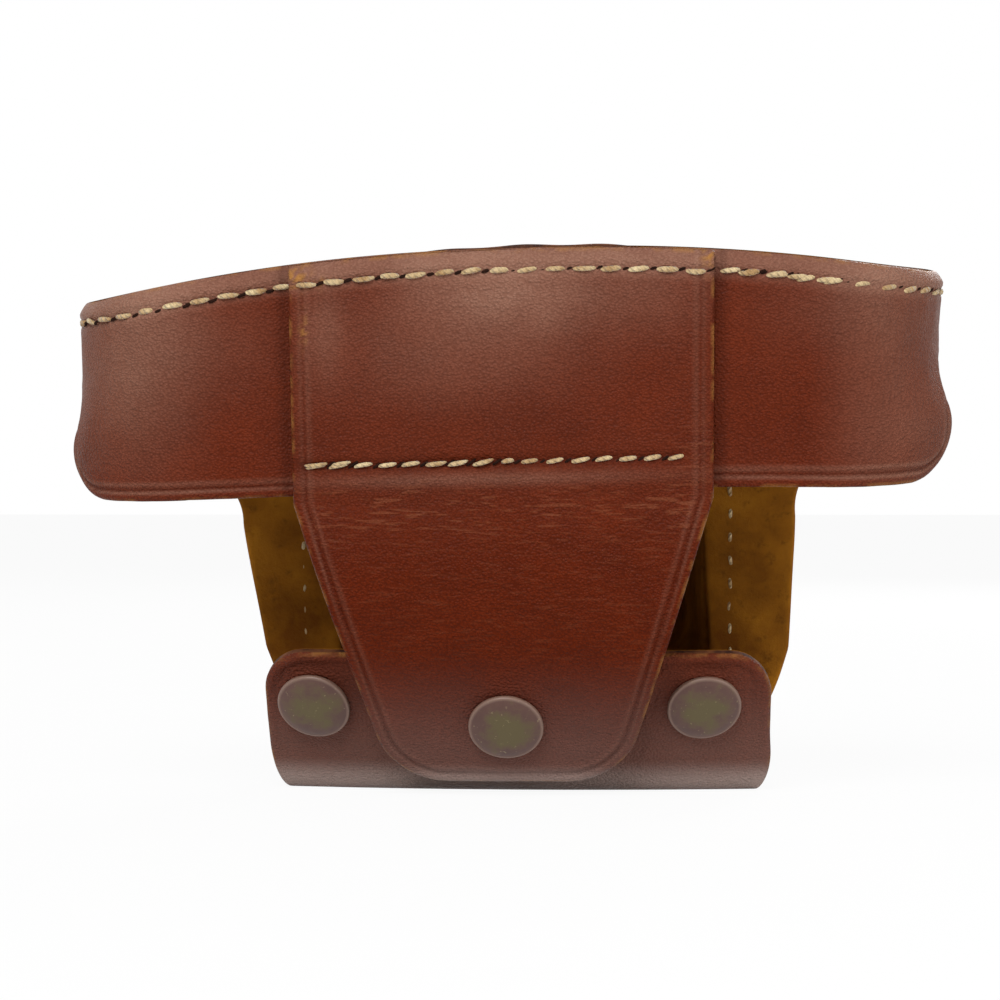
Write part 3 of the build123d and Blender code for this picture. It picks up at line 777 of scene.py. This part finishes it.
hole_low, hole_high = NOSE_MIDDLE - NOSE_HALF_H, NOSE_MIDDLE + NOSE_HALF_H
p = np.concatenate([
    wall_p + edge_lines(-1 - wall_p, 0.6)[:-4],
    edge_lines(hole_low + 1, 0.8)[4:] - 1,
    hole_low + edge_lines(hole_high - hole_low, 0.8)[1:-1],
    [hole_high],
])
wing_rows = WING_AT + edge_lines(CROWN_HEIGHT - WING_AT, 0.75)
p = np.unique(np.round(np.concatenate([p[np.abs(p - WING_AT) > 0.3], wing_rows]), 3))
p = p[np.concatenate([[True], (np.diff(p) > 0.08) | (np.abs(p[1:] - hole_high) < 0.01)])]
deep = np.clip(np.abs(p - NOSE_MIDDLE) - (NOSE_HALF_H - NOSE_CORNER), 0, NOSE_CORNER)
hole = NOSE_HALF_W - NOSE_CORNER + np.sqrt(NOSE_CORNER**2 - deep**2)
hole = hole + NOSE_CORNER * smooth(0, 9, np.abs(p - NOSE_MIDDLE) - NOSE_HALF_H)
hole = np.minimum(hole, 0.72 * panel_half(p))
half_row = panel_half(p)
end_row = np.where(p < WING_AT - 0.01, half_row + 6, band_end(p))
mid_u = edge_lines(2 * NOSE_HALF_W, 0.85) / NOSE_HALF_W - 1
side_u = edge_lines(14.0, 0.85) / 14.0
wing_u = np.linspace(0, 1, 32) ** 0.9
wing_u = np.concatenate([wing_u[:-1], 1 - np.array([0.7, 0.35, 0.12]) / 26, [1]])
to_side = hole[:, None] + (half_row - hole)[:, None] * side_u[None]
to_wing = half_row[:, None] + (end_row - half_row)[:, None] * wing_u[None, 1:]
outer_part = np.concatenate([to_side, to_wing], axis=1)
s = np.concatenate([-outer_part[:, ::-1], hole[:, None] * mid_u[None, 1:-1], outer_part], axis=1)
p = np.broadcast_to(p[:, None], s.shape)
x_flat = round_hood(s, 0, 1)[..., 0]
raised = np.clip((p - 66) / (CROWN_HEIGHT - 66), 0, 1)
w = p + (crown(x_flat) - CROWN_HEIGHT) * raised
panel_flat = np.stack([s, w], axis=-1)
on_front = (p > 5)[..., None]
panel_middle = np.where(on_front, round_hood(s, w, 1), fold_place(s, np.minimum(p, 5)))
panel_middle[..., 0] += SKEW * smooth(50, 16, p)
panel_middle[..., 0] += 0.6 * smooth(20, 42, s) * smooth(12, 2, panel_middle[..., 2]) * smooth(8, -4, p)
panel_middle[..., 0] += 0.9 * smooth(30, 46, s) * smooth(6, 20, p) * smooth(60, 42, p)
panel_middle[..., 1] -= 0.5 * smooth(30, 46, np.abs(s)) * smooth(4, 20, p) * smooth(62, 44, p)

wings, columns = len(wing_u) - 1, s.shape[1] - 1
column = np.arange(columns)
row_p = (p[:-1, 0] + p[1:, 0]) / 2
kept = np.ones((len(row_p), columns), bool)
kept[np.ix_(row_p < WING_AT, (column < wings) | (column >= columns - wings))] = False
first_mid = wings + len(side_u) - 1
in_hole = (column >= first_mid) & (column < columns - first_mid)
kept[np.ix_((row_p > hole_low) & (row_p < hole_high), in_hole)] = False

rim_start, rim_end = rim_of(panel_flat, kept)
wall_rim = np.maximum(rim_start[:, 1], rim_end[:, 1]) < -2
to_wall_rim = distance_to(panel_flat, rim_start[wall_rim], rim_end[wall_rim])
line = (pressed(to_wall_rim) + 0.7 * pressed(to_wall_rim - 1.1)) * smooth(-4, -10, w)
wall_z = panel_middle[..., 2]
caps_x = np.array([-34.3, 34.3])
from_cap = np.sqrt((panel_middle[..., 0, None] - caps_x) ** 2 + ((wall_z[..., None] - 16.38) / 0.85) ** 2)
dimple = bell(from_cap - 8.3, 1.1).sum(-1) * smooth(12, 19, wall_z) * (w < 0)
panel_relief = (
    -PRESSED_DEPTH * line - 0.22 * dimple + seam_pinch(crown(x_flat) - w) + roll_over(crown(x_flat) - w)
    + 0.16 * waves(panel_flat, 16, 40, 14, 21) + 0.03 * waves(panel_flat, 3, 7, 16, 22)
)
panel_relief = np.where(w > 6, panel_relief, panel_relief * smooth(2.5, 9, wall_z))
# Painted shade in the pressed lines and in the dimples round the caps, and a painted sheen, most on the
# rolled strip under the crown.
panel_crease_shade = np.clip(0.4 * line + 0.2 * dimple, 0, 1)
panel_flex = 0.5 * smooth(12, 3, wall_z) * (w < 6)
front_leather = leather_sheet(
    "front_and_base_leather", panel_flat, panel_middle, -1, kept, panel_relief,
    crease=panel_crease_shade, flex=panel_flex, bloom=0.10 + 0.6 * smooth(5.5, 2.0, crown(x_flat) - w),
)

# %% [markdown]
# The top panel is a shallow tray, and the nose is a moulded box. Each is made of closed rings,
# one inside the next, carried along the outline of the leather's cross-section.


# %% Ringed shells
def tube_faces(shape):
    """Quads round one tube or many; shape ends with the rings and the points of a ring, which closes."""
    index = np.arange(np.prod(shape)).reshape(shape)
    ahead = np.roll(index, -1, axis=-1)
    quads = [index[..., :-1, :], ahead[..., :-1, :], ahead[..., 1:, :], index[..., 1:, :]]
    return np.stack(quads, axis=-1).reshape(-1, 4)


def ring_shell(name, rings, kinds, shades):
    """A closed shell from rings of points (ring, point, xyz); kinds[i] is the finish after ring i."""
    count, around = rings.shape[:2]
    material = np.repeat(np.array(kinds), around)
    zero = np.zeros(count * around)
    unmarked = {key: zero for key in MARKS}
    return put_mesh(
        name, settle(rings), tube_faces((count, around)), shades, material, edge=zero + 3, **unmarked
    )


def stadium(inset, count_straight=90, count_round=40):
    """Plan of the hood drawn in by inset: two straights and two half circles, as x and v."""
    radius = HOOD_DEPTH / 2 - inset
    along = np.linspace(-STRAIGHT, STRAIGHT, count_straight, endpoint=False)
    turn = np.linspace(0, math.pi, count_round, endpoint=False)
    bow = STRAIGHT + radius * np.sin(turn)
    x = np.concatenate([along, bow, -along, -bow])
    v = np.concatenate([
        np.full(count_straight, -radius), -radius * np.cos(turn),
        np.full(count_straight, radius), radius * np.cos(turn),
    ])
    return x, v + MIDDLE_V


# %% Top panel
TRAY_FLOOR, TRAY_UNDER = 5.0, 7.2   # below the crown
tray_profile = [            # inset, depth below the crown, finish that follows
    (21.19, TRAY_FLOOR, 0), (16, TRAY_FLOOR, 0), (11, TRAY_FLOOR, 0), (7, TRAY_FLOOR, 0),
    (5.4, TRAY_FLOOR - 0.3, 0), (4.7, TRAY_FLOOR - 1.0, 0), (4.45, TRAY_FLOOR - 2.2, 0), (4.4, 1.2, 0),
    (4.25, 0.4, 2), (3.8, 0.05, 2), (2.8, 0.05, 2), (2.4, 0.4, 2),
    (2.25, 1.2, 1), (2.25, 3.4, 1), (2.4, 5.2, 1), (3.0, 6.5, 1), (4.2, 7.1, 1),
    (6, TRAY_UNDER, 1), (11, TRAY_UNDER, 1), (16, TRAY_UNDER, 1), (21.19, TRAY_UNDER, 1),
]
tray_rings = []
for inset, depth, _ in tray_profile:
    x, v = stadium(inset)
    swelling = 0.75 * np.exp(-(((x - 5) / 18) ** 4)) * (v < MIDDLE_V) * (depth < 4)
    swelling = swelling * (0.8 + 0.2 * np.sin(x / 2.3))
    tray_rings.append(hood_point(x, v, crown(x) - max(depth, 0.3) + swelling))
tray_rings = np.array(tray_rings)
tray_kinds = [kind for *_, kind in tray_profile[:-1]]
top_panel = ring_shell("top_panel_leather", tray_rings, tray_kinds, [grain_side, flesh_side, cut_edge])

# %% [markdown]
# The nose is a moulded box with walls that taper a little, a rounded front edge, and a flange to
# sew it on by. Both its skins follow one profile, ring after ring.

# %% Nose
NOSE_DEPTH, NOSE_TAPER, NOSE_EDGE, FLANGE = 46.0, math.radians(6.0), 9.0, 6.0
NOSE_SHRINKS = 12.2         # further in than this, the rings shrink to the middle of the front
NOSE_FILLET = 2.0


def nose_ring(offset, v, count=44):
    """Rounded rectangle of the nose's opening grown by offset, at v forward of the panel's middle."""
    radius = max(NOSE_CORNER + offset, 0.8)
    shrink = 1.0
    if offset < -NOSE_SHRINKS:
        shrink = min(1.0, max(NOSE_HALF_H + offset, 0.02) / (NOSE_HALF_H - NOSE_SHRINKS))
    grown = max(offset, -NOSE_SHRINKS)
    turn = np.linspace(0, math.pi / 2, count)
    parts = []
    for quarter, (sign_x, sign_w) in enumerate([(1, 1), (-1, 1), (-1, -1), (1, -1)]):
        angle = turn + quarter * math.pi / 2
        parts.append(np.stack([
            sign_x * (NOSE_HALF_W + grown - radius) + radius * np.cos(angle),
            sign_w * (NOSE_HALF_H + grown - radius) + radius * np.sin(angle),
        ], axis=1))
    ring = np.concatenate(parts) * shrink
    return hood_point(ring[:, 0], v, ring[:, 1] + NOSE_MIDDLE)


def nose_wall(offset, edge, front, count=10):
    """Profile of a skin from the panel to the middle of its front: a tapered wall and a round edge."""
    start = HIDE / 2
    drift = math.tan(NOSE_TAPER)
    centre_v = front - edge
    centre_o = offset - drift * (centre_v - start) - edge / math.cos(NOSE_TAPER)
    angles = np.linspace(NOSE_TAPER, math.pi / 2, count)
    arc = [(centre_o + edge * math.cos(a), centre_v + edge * math.sin(a)) for a in angles]
    v = np.linspace(start + 0.02, arc[0][1], 26)[1:-1]
    wall = [(offset - drift * (level - start), level) for level in v]
    face = [(o, front) for o in np.linspace(arc[-1][0], -NOSE_HALF_H, 9)[1:]]
    return wall + arc + face


outer_skin = nose_wall(HIDE, NOSE_EDGE, HIDE / 2 + NOSE_DEPTH)
inner_skin = nose_wall(0.0, NOSE_EDGE - HIDE, NOSE_DEPTH - HIDE / 2)
root = [(o, v) for o, v in outer_skin if v > HIDE * 1.5 + NOSE_FILLET]
fillet = [
    (HIDE + NOSE_FILLET * (1 - math.sin(a)) - 0.2, HIDE * 1.5 + NOSE_FILLET * (1 - math.cos(a)))
    for a in np.linspace(1.4, 0.1, 6)
]
flange = [(o, HIDE * 1.5) for o in np.linspace(HIDE + 2.6, HIDE + FLANGE - 0.5, 5)]
rim = [(HIDE + FLANGE - 0.1, HIDE * 1.5 - 0.3), (HIDE + FLANGE, HIDE), (HIDE + FLANGE - 0.1, HIDE / 2 + 0.25)]
under = [(o, HIDE / 2 + 0.03) for o in np.linspace(HIDE + FLANGE - 0.6, 0.3, 7)]
profile = root[::-1] + fillet + flange + rim + under + inner_skin
kinds = [0] * (len(root) + len(fillet) + len(flange)) + [2] * len(rim) + [1] * (len(under) + len(inner_skin))
nose_rings = np.array([nose_ring(o, v) for o, v in profile])
nose = ring_shell("nose_leather", nose_rings, kinds[:-1], [grain_side, flesh_side, cut_edge])

# %% [markdown]
# The seams are sewn by hand with waxed linen thread, two strands twisted. Each stitch is a grain
# of rice: thick in the middle, and sinking into its holes at both ends. No two are alike. Right
# of the strap, five more stitches of the top seam lie on the first ones.

# %% Waxed thread
TWIST = 6.0                 # of the two strands, in radians for each mm along the stitch
DIRT = 260.0                # to a metre, one every 3.8 mm

thread, tree, shader, place = new_material("waxed_linen_thread")
uv = add(tree, "ShaderNodeTexCoord").outputs["UV"]
split_uv = add(tree, "ShaderNodeSeparateXYZ", {"Vector": uv})
turns = add(tree, "ShaderNodeMath", {0: split_uv.outputs["X"], 1: 4 * math.pi}, operation="MULTIPLY")
lay = add(
    tree, "ShaderNodeMath",
    {0: split_uv.outputs["Y"], 1: TWIST, 2: turns.outputs[0]}, operation="MULTIPLY_ADD",
)
strand = add(tree, "ShaderNodeMath", {0: lay.outputs[0]}, operation="SINE")
dirt = add(tree, "ShaderNodeTexNoise", {"Vector": place, "Scale": DIRT, "Detail": 4.0})
soiled = add(tree, "ShaderNodeMapRange", {"Value": dirt.outputs[0], "From Min": 0.35, "From Max": 0.65})
fibre = add(
    tree, "ShaderNodeMix", {0: soiled.outputs[0], 6: colour("a5804f"), 7: colour("d9c294")}, data_type="RGBA"
)
bump = add(tree, "ShaderNodeBump", {"Strength": 0.7, "Distance": 0.0002, "Height": strand.outputs[0]})
plug(tree, shader, {
    "Base Color": fibre.outputs[2], "Roughness": 0.62, "Sheen Weight": 0.3,
    "Normal": bump.outputs["Normal"],
})


def stitch_row(name, middles, alongs, outs, lengths, widths, seed, slant=0.0, material=None):
    """Stitches as bent grains of rice: along each its middle line is a low arch, and its section
    an ellipse that narrows to the holes. All arrays have one row for each stitch."""
    draw = np.random.default_rng(seed)
    count = len(middles)
    t = np.linspace(-1, 1, 13)
    turn = np.linspace(0, 2 * math.pi, 8, endpoint=False)
    thick = np.clip(1 - np.abs(t) ** 2.6, 0, 1) ** 0.62 * 0.97 + 0.03
    sides = np.cross(alongs, outs)
    lean = draw.normal(slant, 0.06, (count, 1))
    alongs = alongs - sides * lean
    bow = draw.normal(0, 0.10, (count, 1))
    half = (lengths / 2)[:, None] * t
    rise = 0.36 * (1 - np.abs(t) ** 2.4)[None] - 0.42 * (np.abs(t) ** 5)[None]
    rise = rise + draw.normal(0, 0.03, (count, 1))
    centre = (
        middles[:, None] + alongs[:, None] * half[..., None] + outs[:, None] * rise[..., None]
        + sides[:, None] * (bow * (1 - t**2))[..., None]
    )
    wide = (widths / 2)[:, None] * thick
    ring = (
        sides[:, None, None] * (wide[..., None] * np.cos(turn))[..., None]
        + outs[:, None, None] * (0.82 * wide[..., None] * np.sin(turn))[..., None]
    )
    points = settle(centre[:, :, None] + ring)
    shape = (count, len(t) - 1, len(turn))
    u = np.broadcast_to(np.arange(8) / 8, shape)
    y = np.broadcast_to(half[:, :-1, None], shape)
    y_next = np.broadcast_to(half[:, 1:, None], shape)
    uv_points = np.stack([
        np.stack([u, u + 1 / 8, u + 1 / 8, u], axis=-1), np.stack([y, y, y_next, y_next], axis=-1)
    ], axis=-1)
    piece = put_mesh(name, points, tube_faces(points.shape[:3]), [material or thread])
    layer = piece.data.uv_layers.new(name="lay")
    layer.data.foreach_set("uv", uv_points.reshape(-1).astype(np.float32))
    return piece


def unit(vectors):
    """Vectors divided by their own lengths."""
    return vectors / np.linalg.norm(vectors, axis=-1, keepdims=True)


def on_surface(place, a, b, side):
    """Point, direction and outward normal where a surface's first parameter is a and second is b."""
    along = unit(place(a + 0.3, b) - place(a - 0.3, b))
    up = unit(place(a, b + 0.3) - place(a, b - 0.3))
    out = unit(np.cross(along, up)) * side
    return place(a, b), along, out


TOP_PITCH, CROSS_SEAM_PITCH, NOSE_PITCH = 4.7, 4.1, 4.2
SEAM_SINK = 0.70            # height of the groove's bottom over the middle surface


def seam_w(s):
    """Height of the top seam where it is s round the hood."""
    x = round_hood(s, 0, -1)[..., 0]
    return crown(x) - EDGE_TO_SEAM


draw = np.random.default_rng(5)
rows = []
whole = 2 * HALF_ROUND
count = round(whole / TOP_PITCH)
s_back = (np.arange(count) + 0.5) / count * whole - HALF_ROUND
for side in (-1, 1):
    jitter = draw.normal(0, 0.16, count)
    s_seam = s_back + jitter
    over_strap = (side < 0) & (np.abs(s_seam) < STRAP_HALF - 1.4)
    at_side = (side < 0) & (np.abs(np.abs(s_seam) - STRAP_HALF) < 1.3)
    s_seam, over_strap = s_seam[~at_side], over_strap[~at_side]
    point, along, out = on_surface(lambda a, b: round_hood(a, b, side), s_seam, seam_w(s_seam), -side)
    height = SEAM_SINK + np.where(over_strap, HIDE, 0)
    length = draw.normal(4.0, 0.25, len(s_seam))
    rows.append((point + out * height[:, None], along, out, length, draw.normal(0.92, 0.07, len(s_seam))))
second = np.array([38.4, 41.4, 46.2, 49.6, 54.4])      # sewn over again
point, along, out = on_surface(lambda a, b: round_hood(a, b, -1), second, seam_w(second) + 0.22, 1)
rows.append((point + out * (SEAM_SINK + 0.15), along, out, np.full(5, 3.9), np.full(5, 0.8)))
top_row = [np.concatenate(part) for part in zip(*rows)]
top_thread = stitch_row("top_seam_stitches", *top_row, seed=6, slant=0.05)

count = round((CROSS_TO - CROSS_FROM) / CROSS_SEAM_PITCH)
x_seam = CROSS_FROM + (np.arange(count) + 0.5) * CROSS_SEAM_PITCH + draw.normal(0, 0.12, count)
point, along, out = on_surface(strap_place, x_seam, np.full(count, CROSS_SEAM), 1)
length = draw.normal(3.75, 0.2, count)
length[8] = 2.4
rows = [(point + out * 0.62, along, out, length, draw.normal(0.80, 0.05, count))]
point, along, out = on_surface(strap_place, np.array([-31.6, -27.4]), np.array([CROSS_SEAM + 0.45] * 2), 1)
rows.append((point + out * 0.8, along, out, np.array([4.4, 3.9]), np.array([0.75, 0.7])))
cross_row = [np.concatenate(part) for part in zip(*rows)]
cross_thread = stitch_row("cross_seam_stitches", *cross_row, seed=7, slant=0.16)

track = nose_ring(HIDE + FLANGE / 2, 0.0, count=60)
track = np.concatenate([track, track[:1]])
track_length = np.concatenate([[0], np.cumsum(np.linalg.norm(np.diff(track, axis=0), axis=1))])
count = round(track_length[-1] / NOSE_PITCH)
stations = (np.arange(count) + 0.5) / count * track_length[-1]
forward = unit(hood_point(0, 1.0, 0) - hood_point(0, 0.0, 0))
at = np.stack([np.interp(stations, track_length, track[:, i]) for i in range(3)], axis=1)
ahead = (stations + 0.5) % track_length[-1]
next_at = np.stack([np.interp(ahead, track_length, track[:, i]) for i in range(3)], axis=1)
along = unit(next_at - at)
rows = []
for out, height in ((forward, 1.5 * HIDE - 0.15), (-forward, HIDE / 2 - 0.25)):
    outs = np.broadcast_to(out, at.shape)
    size = draw.normal(3.1, 0.2, count), draw.normal(0.78, 0.05, count)
    rows.append((at + outs * height, along, outs, *size))
nose_row = [np.concatenate(part) for part in zip(*rows)]
nose_thread = stitch_row("nose_seam_stitches", *nose_row, seed=11)

# %% [markdown]
# Between two stitches the awl has left a slanting slit. The slits are short stitches of their own,
# sunk in the leather, one at the end of each stitch, in a near-black that paints the shadow in the holes.

# %% Awl slits
SLIT_LENGTH, SLIT_WIDTH, SLIT_PAST = 1.9, 0.56, 0.42       # the last is beyond the stitch's end
SLIT_MOTTLE = 900.0               # to a metre, one every 1.1 mm

# A near-black finish for the slits: painted shadow in the awl holes.
hole_shadow, tree, shader, place = new_material("painted_shadow_in_awl_slits")
slit_mottle = add(tree, "ShaderNodeTexNoise", {"Vector": place, "Scale": SLIT_MOTTLE, "Detail": 3.0})
black = add(
    tree, "ShaderNodeMix", {0: slit_mottle.outputs[0], 6: colour("120805"), 7: colour("2e160c")}, data_type="RGBA"
)
plug(tree, shader, {
    "Base Color": black.outputs[2], "Roughness": 0.8, "Specular IOR Level": 0.1,
})


def slit_row(name, row, sink, slant, seed):
    """A dark slit past the end of each stitch of a row, along its line, turned by slant."""
    middles, alongs, outs, lengths, _ = row
    ends = middles + alongs * (lengths / 2 + SLIT_PAST)[:, None] - outs * sink
    sizes = np.full(len(lengths), SLIT_LENGTH), np.full(len(lengths), SLIT_WIDTH)
    return stitch_row(name, ends, alongs, outs, *sizes, seed, slant, hole_shadow)


slits = [
    slit_row("top_seam_slits", top_row, 0.26, 0.3, 31),
    slit_row("cross_seam_slits", cross_row, 0.26, 0.6, 32),
    slit_row("nose_seam_slits", nose_row, 0.22, 0.7, 33),
]

# %% [markdown]
# The snap caps are pressed brass, painted brown to match the leather. Years of thumbs have worn
# the paint from the middle of each, so the brass shows through it as olive and bronze. A thin
# painted highlight runs round each rim.

# %% Painted brass
CAP_RADIUS, CAP_HEIGHT = 6.55, 2.3
CHIPS, SPECKS = 330.0, 1500.0           # to a metre: 3.0 and 0.7 mm

cap_paint, tree, shader, place = new_material("worn_painted_brass")
middle = add(tree, "ShaderNodeAttribute", attribute_name="from_middle").outputs["Fac"]
blots = add(tree, "ShaderNodeTexNoise", {"Vector": place, "Scale": CHIPS, "Detail": 6.0, "Roughness": 0.65})
specks = add(tree, "ShaderNodeTexNoise", {"Vector": place, "Scale": SPECKS, "Detail": 3.0})
worn = add(
    tree, "ShaderNodeMapRange",
    {"Value": middle, "From Min": 0.2, "From Max": 0.95, "To Min": 0.72, "To Max": 0.36},
)
level = add(tree, "ShaderNodeMath", {0: blots.outputs[0], 1: worn.outputs[0]}, operation="ADD")
shown = add(tree, "ShaderNodeMapRange", {"Value": level.outputs[0], "From Min": 0.92, "From Max": 1.18})
scratch = add(
    tree, "ShaderNodeMapRange",
    {"Value": specks.outputs[0], "From Min": 0.66, "From Max": 0.74, "To Max": 0.5},
)
# A painted highlight along each cap's rolled rim.
rim_highlight = add(
    tree, "ShaderNodeMapRange", {"Value": middle, "From Min": 0.90, "From Max": 0.96, "To Max": 0.5}
)
paint = colour("3f2018")
for share, code in (
    (blots.outputs[0], "66453a"),
    (shown.outputs[0], "60553a"),
    (scratch.outputs[0], "9a8c66"),
    (rim_highlight.outputs[0], "957a6a"),
):
    paint = add(
        tree, "ShaderNodeMix", {0: share, 6: paint, 7: colour(code)}, data_type="RGBA"
    ).outputs[2]
metal = add(tree, "ShaderNodeMath", {0: shown.outputs[0], 1: 0.6}, operation="MULTIPLY")
rough = add(tree, "ShaderNodeMapRange", {"Value": blots.outputs[0], "To Min": 0.3, "To Max": 0.5})
bump = add(tree, "ShaderNodeBump", {"Strength": 0.35, "Distance": 0.0001, "Height": blots.outputs[0]})
plug(tree, shader, {
    "Base Color": paint, "Metallic": metal.outputs[0], "Roughness": rough.outputs[0],
    "Normal": bump.outputs["Normal"],
})


def turned_cap(name, seat, axis):
    """A cap: its outline, as radius and height over the leather, turned about its axis."""
    dome = np.linspace(math.radians(74), 0, 12)
    sine, cosine = math.sin(dome[0]), math.cos(dome[0])
    outline = [
        (0.02, -2.95), (2.8, -2.95), (2.8, -2.7), (2.2, -2.7), (2.2, 0.05), (5.5, 0.05), (6.2, 0.45),
        (6.5, 0.85), (6.55, 1.2), (6.5, 1.45), (6.35, 1.6), (6.1, 1.62),
    ]
    outline += [
        (6.0 * math.sin(a) / sine, 1.62 + 0.68 * (math.cos(a) - cosine) / (1 - cosine)) for a in dome[:-1]
    ]
    outline = np.array(outline + [(0.02, CAP_HEIGHT)])
    turn = np.linspace(0, 2 * math.pi, 72, endpoint=False)
    first = unit(np.cross([0.0, 0.0, 1.0], axis))
    second = np.cross(axis, first)
    radius, height = outline[:, 0, None, None], outline[:, 1, None, None]
    points = seat + radius * (np.cos(turn)[:, None] * first + np.sin(turn)[:, None] * second) + height * axis
    share = np.repeat(outline[:, 0] / CAP_RADIUS, 72)
    return put_mesh(name, points, tube_faces(points.shape[:2]), [cap_paint], from_middle=share)


lean_out = np.array([0.0, -math.cos(WALL_LEAN), -math.sin(WALL_LEAN)])
strap_cap = turned_cap("strap_snap_cap_worn", np.array([0.0, -27.3046, 13.4171]), lean_out)
left_cap, right_cap = (
    turned_cap(
        name, np.array([side * 34.3, -20.006, 16.3846]), np.array([side * 0.12538, -0.838729, -0.529919])
    )
    for name, side in (("left_snap_cap_worn", -1), ("right_snap_cap_worn", 1))
)

# %% [markdown]
# Stud, eyelet and sockets are plain brass gone dull, and the springs are drawn wire. Their
# shapes in the solid model are right, so they only get a finish.

# %% Brass and wire
STAIN = 500.0               # to a metre, one every 2 mm
BRASS = ("base_stud", "stud_eyelet", "strap_snap_socket", "left_snap_socket", "right_snap_socket")
WIRE = ("strap_snap_spring", "left_snap_spring", "right_snap_spring")

for name, base, dull, metal_rough, nodes in (
    ("dull_brass", "a98a4a", "6b5630", 0.38, BRASS),
    ("drawn_spring_wire", "9b978c", "6d6a62", 0.28, WIRE),
):
    metal, tree, shader, place = new_material(name)
    stain = add(tree, "ShaderNodeTexNoise", {"Vector": place, "Scale": STAIN, "Detail": 5.0})
    tarnish = add(
        tree, "ShaderNodeMix", {0: stain.outputs[0], 6: colour(base), 7: colour(dull)}, data_type="RGBA"
    )
    rough = add(
        tree, "ShaderNodeMapRange",
        {"Value": stain.outputs[0], "To Min": metal_rough - 0.1, "To Max": metal_rough + 0.15},
    )
    plug(tree, shader, {
        "Base Color": tarnish.outputs[2], "Metallic": 1.0, "Roughness": rough.outputs[0],
    })
    for node in nodes:
        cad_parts[node].data.materials.clear()
        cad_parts[node].data.materials.append(metal)
    print(name, "on", len(nodes), "nodes")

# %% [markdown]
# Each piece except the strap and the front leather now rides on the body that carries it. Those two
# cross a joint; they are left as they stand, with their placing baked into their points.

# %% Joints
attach(back_band, "cover")
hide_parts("back_band")
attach(top_panel, "cover")
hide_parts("top_panel")
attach(nose, "cover")
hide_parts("nose")
for stitches, node in (
    (top_thread, "top_seam_thread"), (cross_thread, "cross_seam_thread"), (nose_thread, "nose_seam_thread"),
):
    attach(stitches, "cover")
    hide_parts(node)
for slit in slits:
    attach(slit, "cover")
for cap, body in ((strap_cap, "strap"), (left_cap, "flap"), (right_cap, "flap")):
    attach(cap, body)
    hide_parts(cap.name.replace("_worn", ""))
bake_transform(closing_strap)
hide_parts("strap_root", "closing_strap")
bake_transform(front_leather)
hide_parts("front_panel", "base_flap")

# %% [markdown]
# The setting is a pale floor under one large soft lamp above the camera, a weaker one at the
# right, a third behind, and an even white world. The floor is white to the camera and keeps a
# soft shadow. The world is white to the camera too, and weaker as a light on the case.

# %% Floor, lamps and world
FLOOR_GLOW, WORLD_LIGHT = 0.93, 0.3


def seen_directly(tree):
    """1 for rays from the camera and for those that mirror or pass through something, else 0."""
    rays = add(tree, "ShaderNodeLightPath").outputs
    seen = rays["Is Camera Ray"]
    for other in ("Is Glossy Ray", "Is Transmission Ray"):
        seen = add(tree, "ShaderNodeMath", {0: seen, 1: rays[other]}, operation="MAXIMUM").outputs[0]
    return seen


floor_mesh = bpy.data.meshes.new("floor")
floor_mesh.from_pydata([(-6, -2, 0), (6, -2, 0), (6, 9, 0), (-6, 9, 0)], [], [(0, 1, 2, 3)])
floor = bpy.data.objects.new("floor", floor_mesh)
bpy.context.scene.collection.objects.link(floor)
paper, tree, shader, place = new_material("white_paper_sweep")
fibres = add(tree, "ShaderNodeTexNoise", {"Vector": place, "Scale": 60.0, "Detail": 3.0})
tone = add(
    tree, "ShaderNodeMix", {0: fibres.outputs[0], 6: colour("f2f2f2"), 7: colour("fafafa")}, data_type="RGBA"
)
plug(tree, shader, {
    "Base Color": tone.outputs[2], "Roughness": 0.9,
})
glow = add(tree, "ShaderNodeEmission", {"Color": (1, 1, 1, 1), "Strength": 1.0})
share = add(tree, "ShaderNodeMath", {0: seen_directly(tree), 1: FLOOR_GLOW}, operation="MULTIPLY")
mixed = add(tree, "ShaderNodeMixShader", {0: share.outputs[0], 1: shader.outputs[0], 2: glow.outputs[0]})
plug(tree, tree.nodes["Material Output"], {"Surface": mixed.outputs[0]})
floor_mesh.materials.append(paper)

world = bpy.data.worlds.new("studio")
bpy.context.scene.world = world
world.use_nodes = True
tree = world.node_tree
strength = add(
    tree, "ShaderNodeMapRange", {"Value": seen_directly(tree), "To Min": WORLD_LIGHT, "To Max": 1.0}
)
plug(tree, tree.nodes["Background"], {0: (1, 1, 1, 1), 1: strength.outputs[0]})

for name, place, aim, size, power in (
    ("key_lamp", (-0.16, -0.80, 0.72), (0, 0, 0.06), 0.56, 8.4),
    ("side_lamp", (0.80, -0.50, 0.30), (0, 0, 0.05), 0.4, 1.6),
    ("back_lamp", (0.35, 0.95, 0.60), (0, 0, 0.05), 0.5, 4.5),
):
    lamp_data = bpy.data.lights.new(name, "AREA")
    lamp_data.size = size
    lamp_data.energy = power
    lamp = bpy.data.objects.new(name, lamp_data)
    bpy.context.scene.collection.objects.link(lamp)
    lamp.location = place
    course = np.array(aim) - np.array(place)
    lamp.rotation_euler = (
        math.acos(-course[2] / np.linalg.norm(course)), 0, math.atan2(course[0], -course[1]) + math.pi
    )
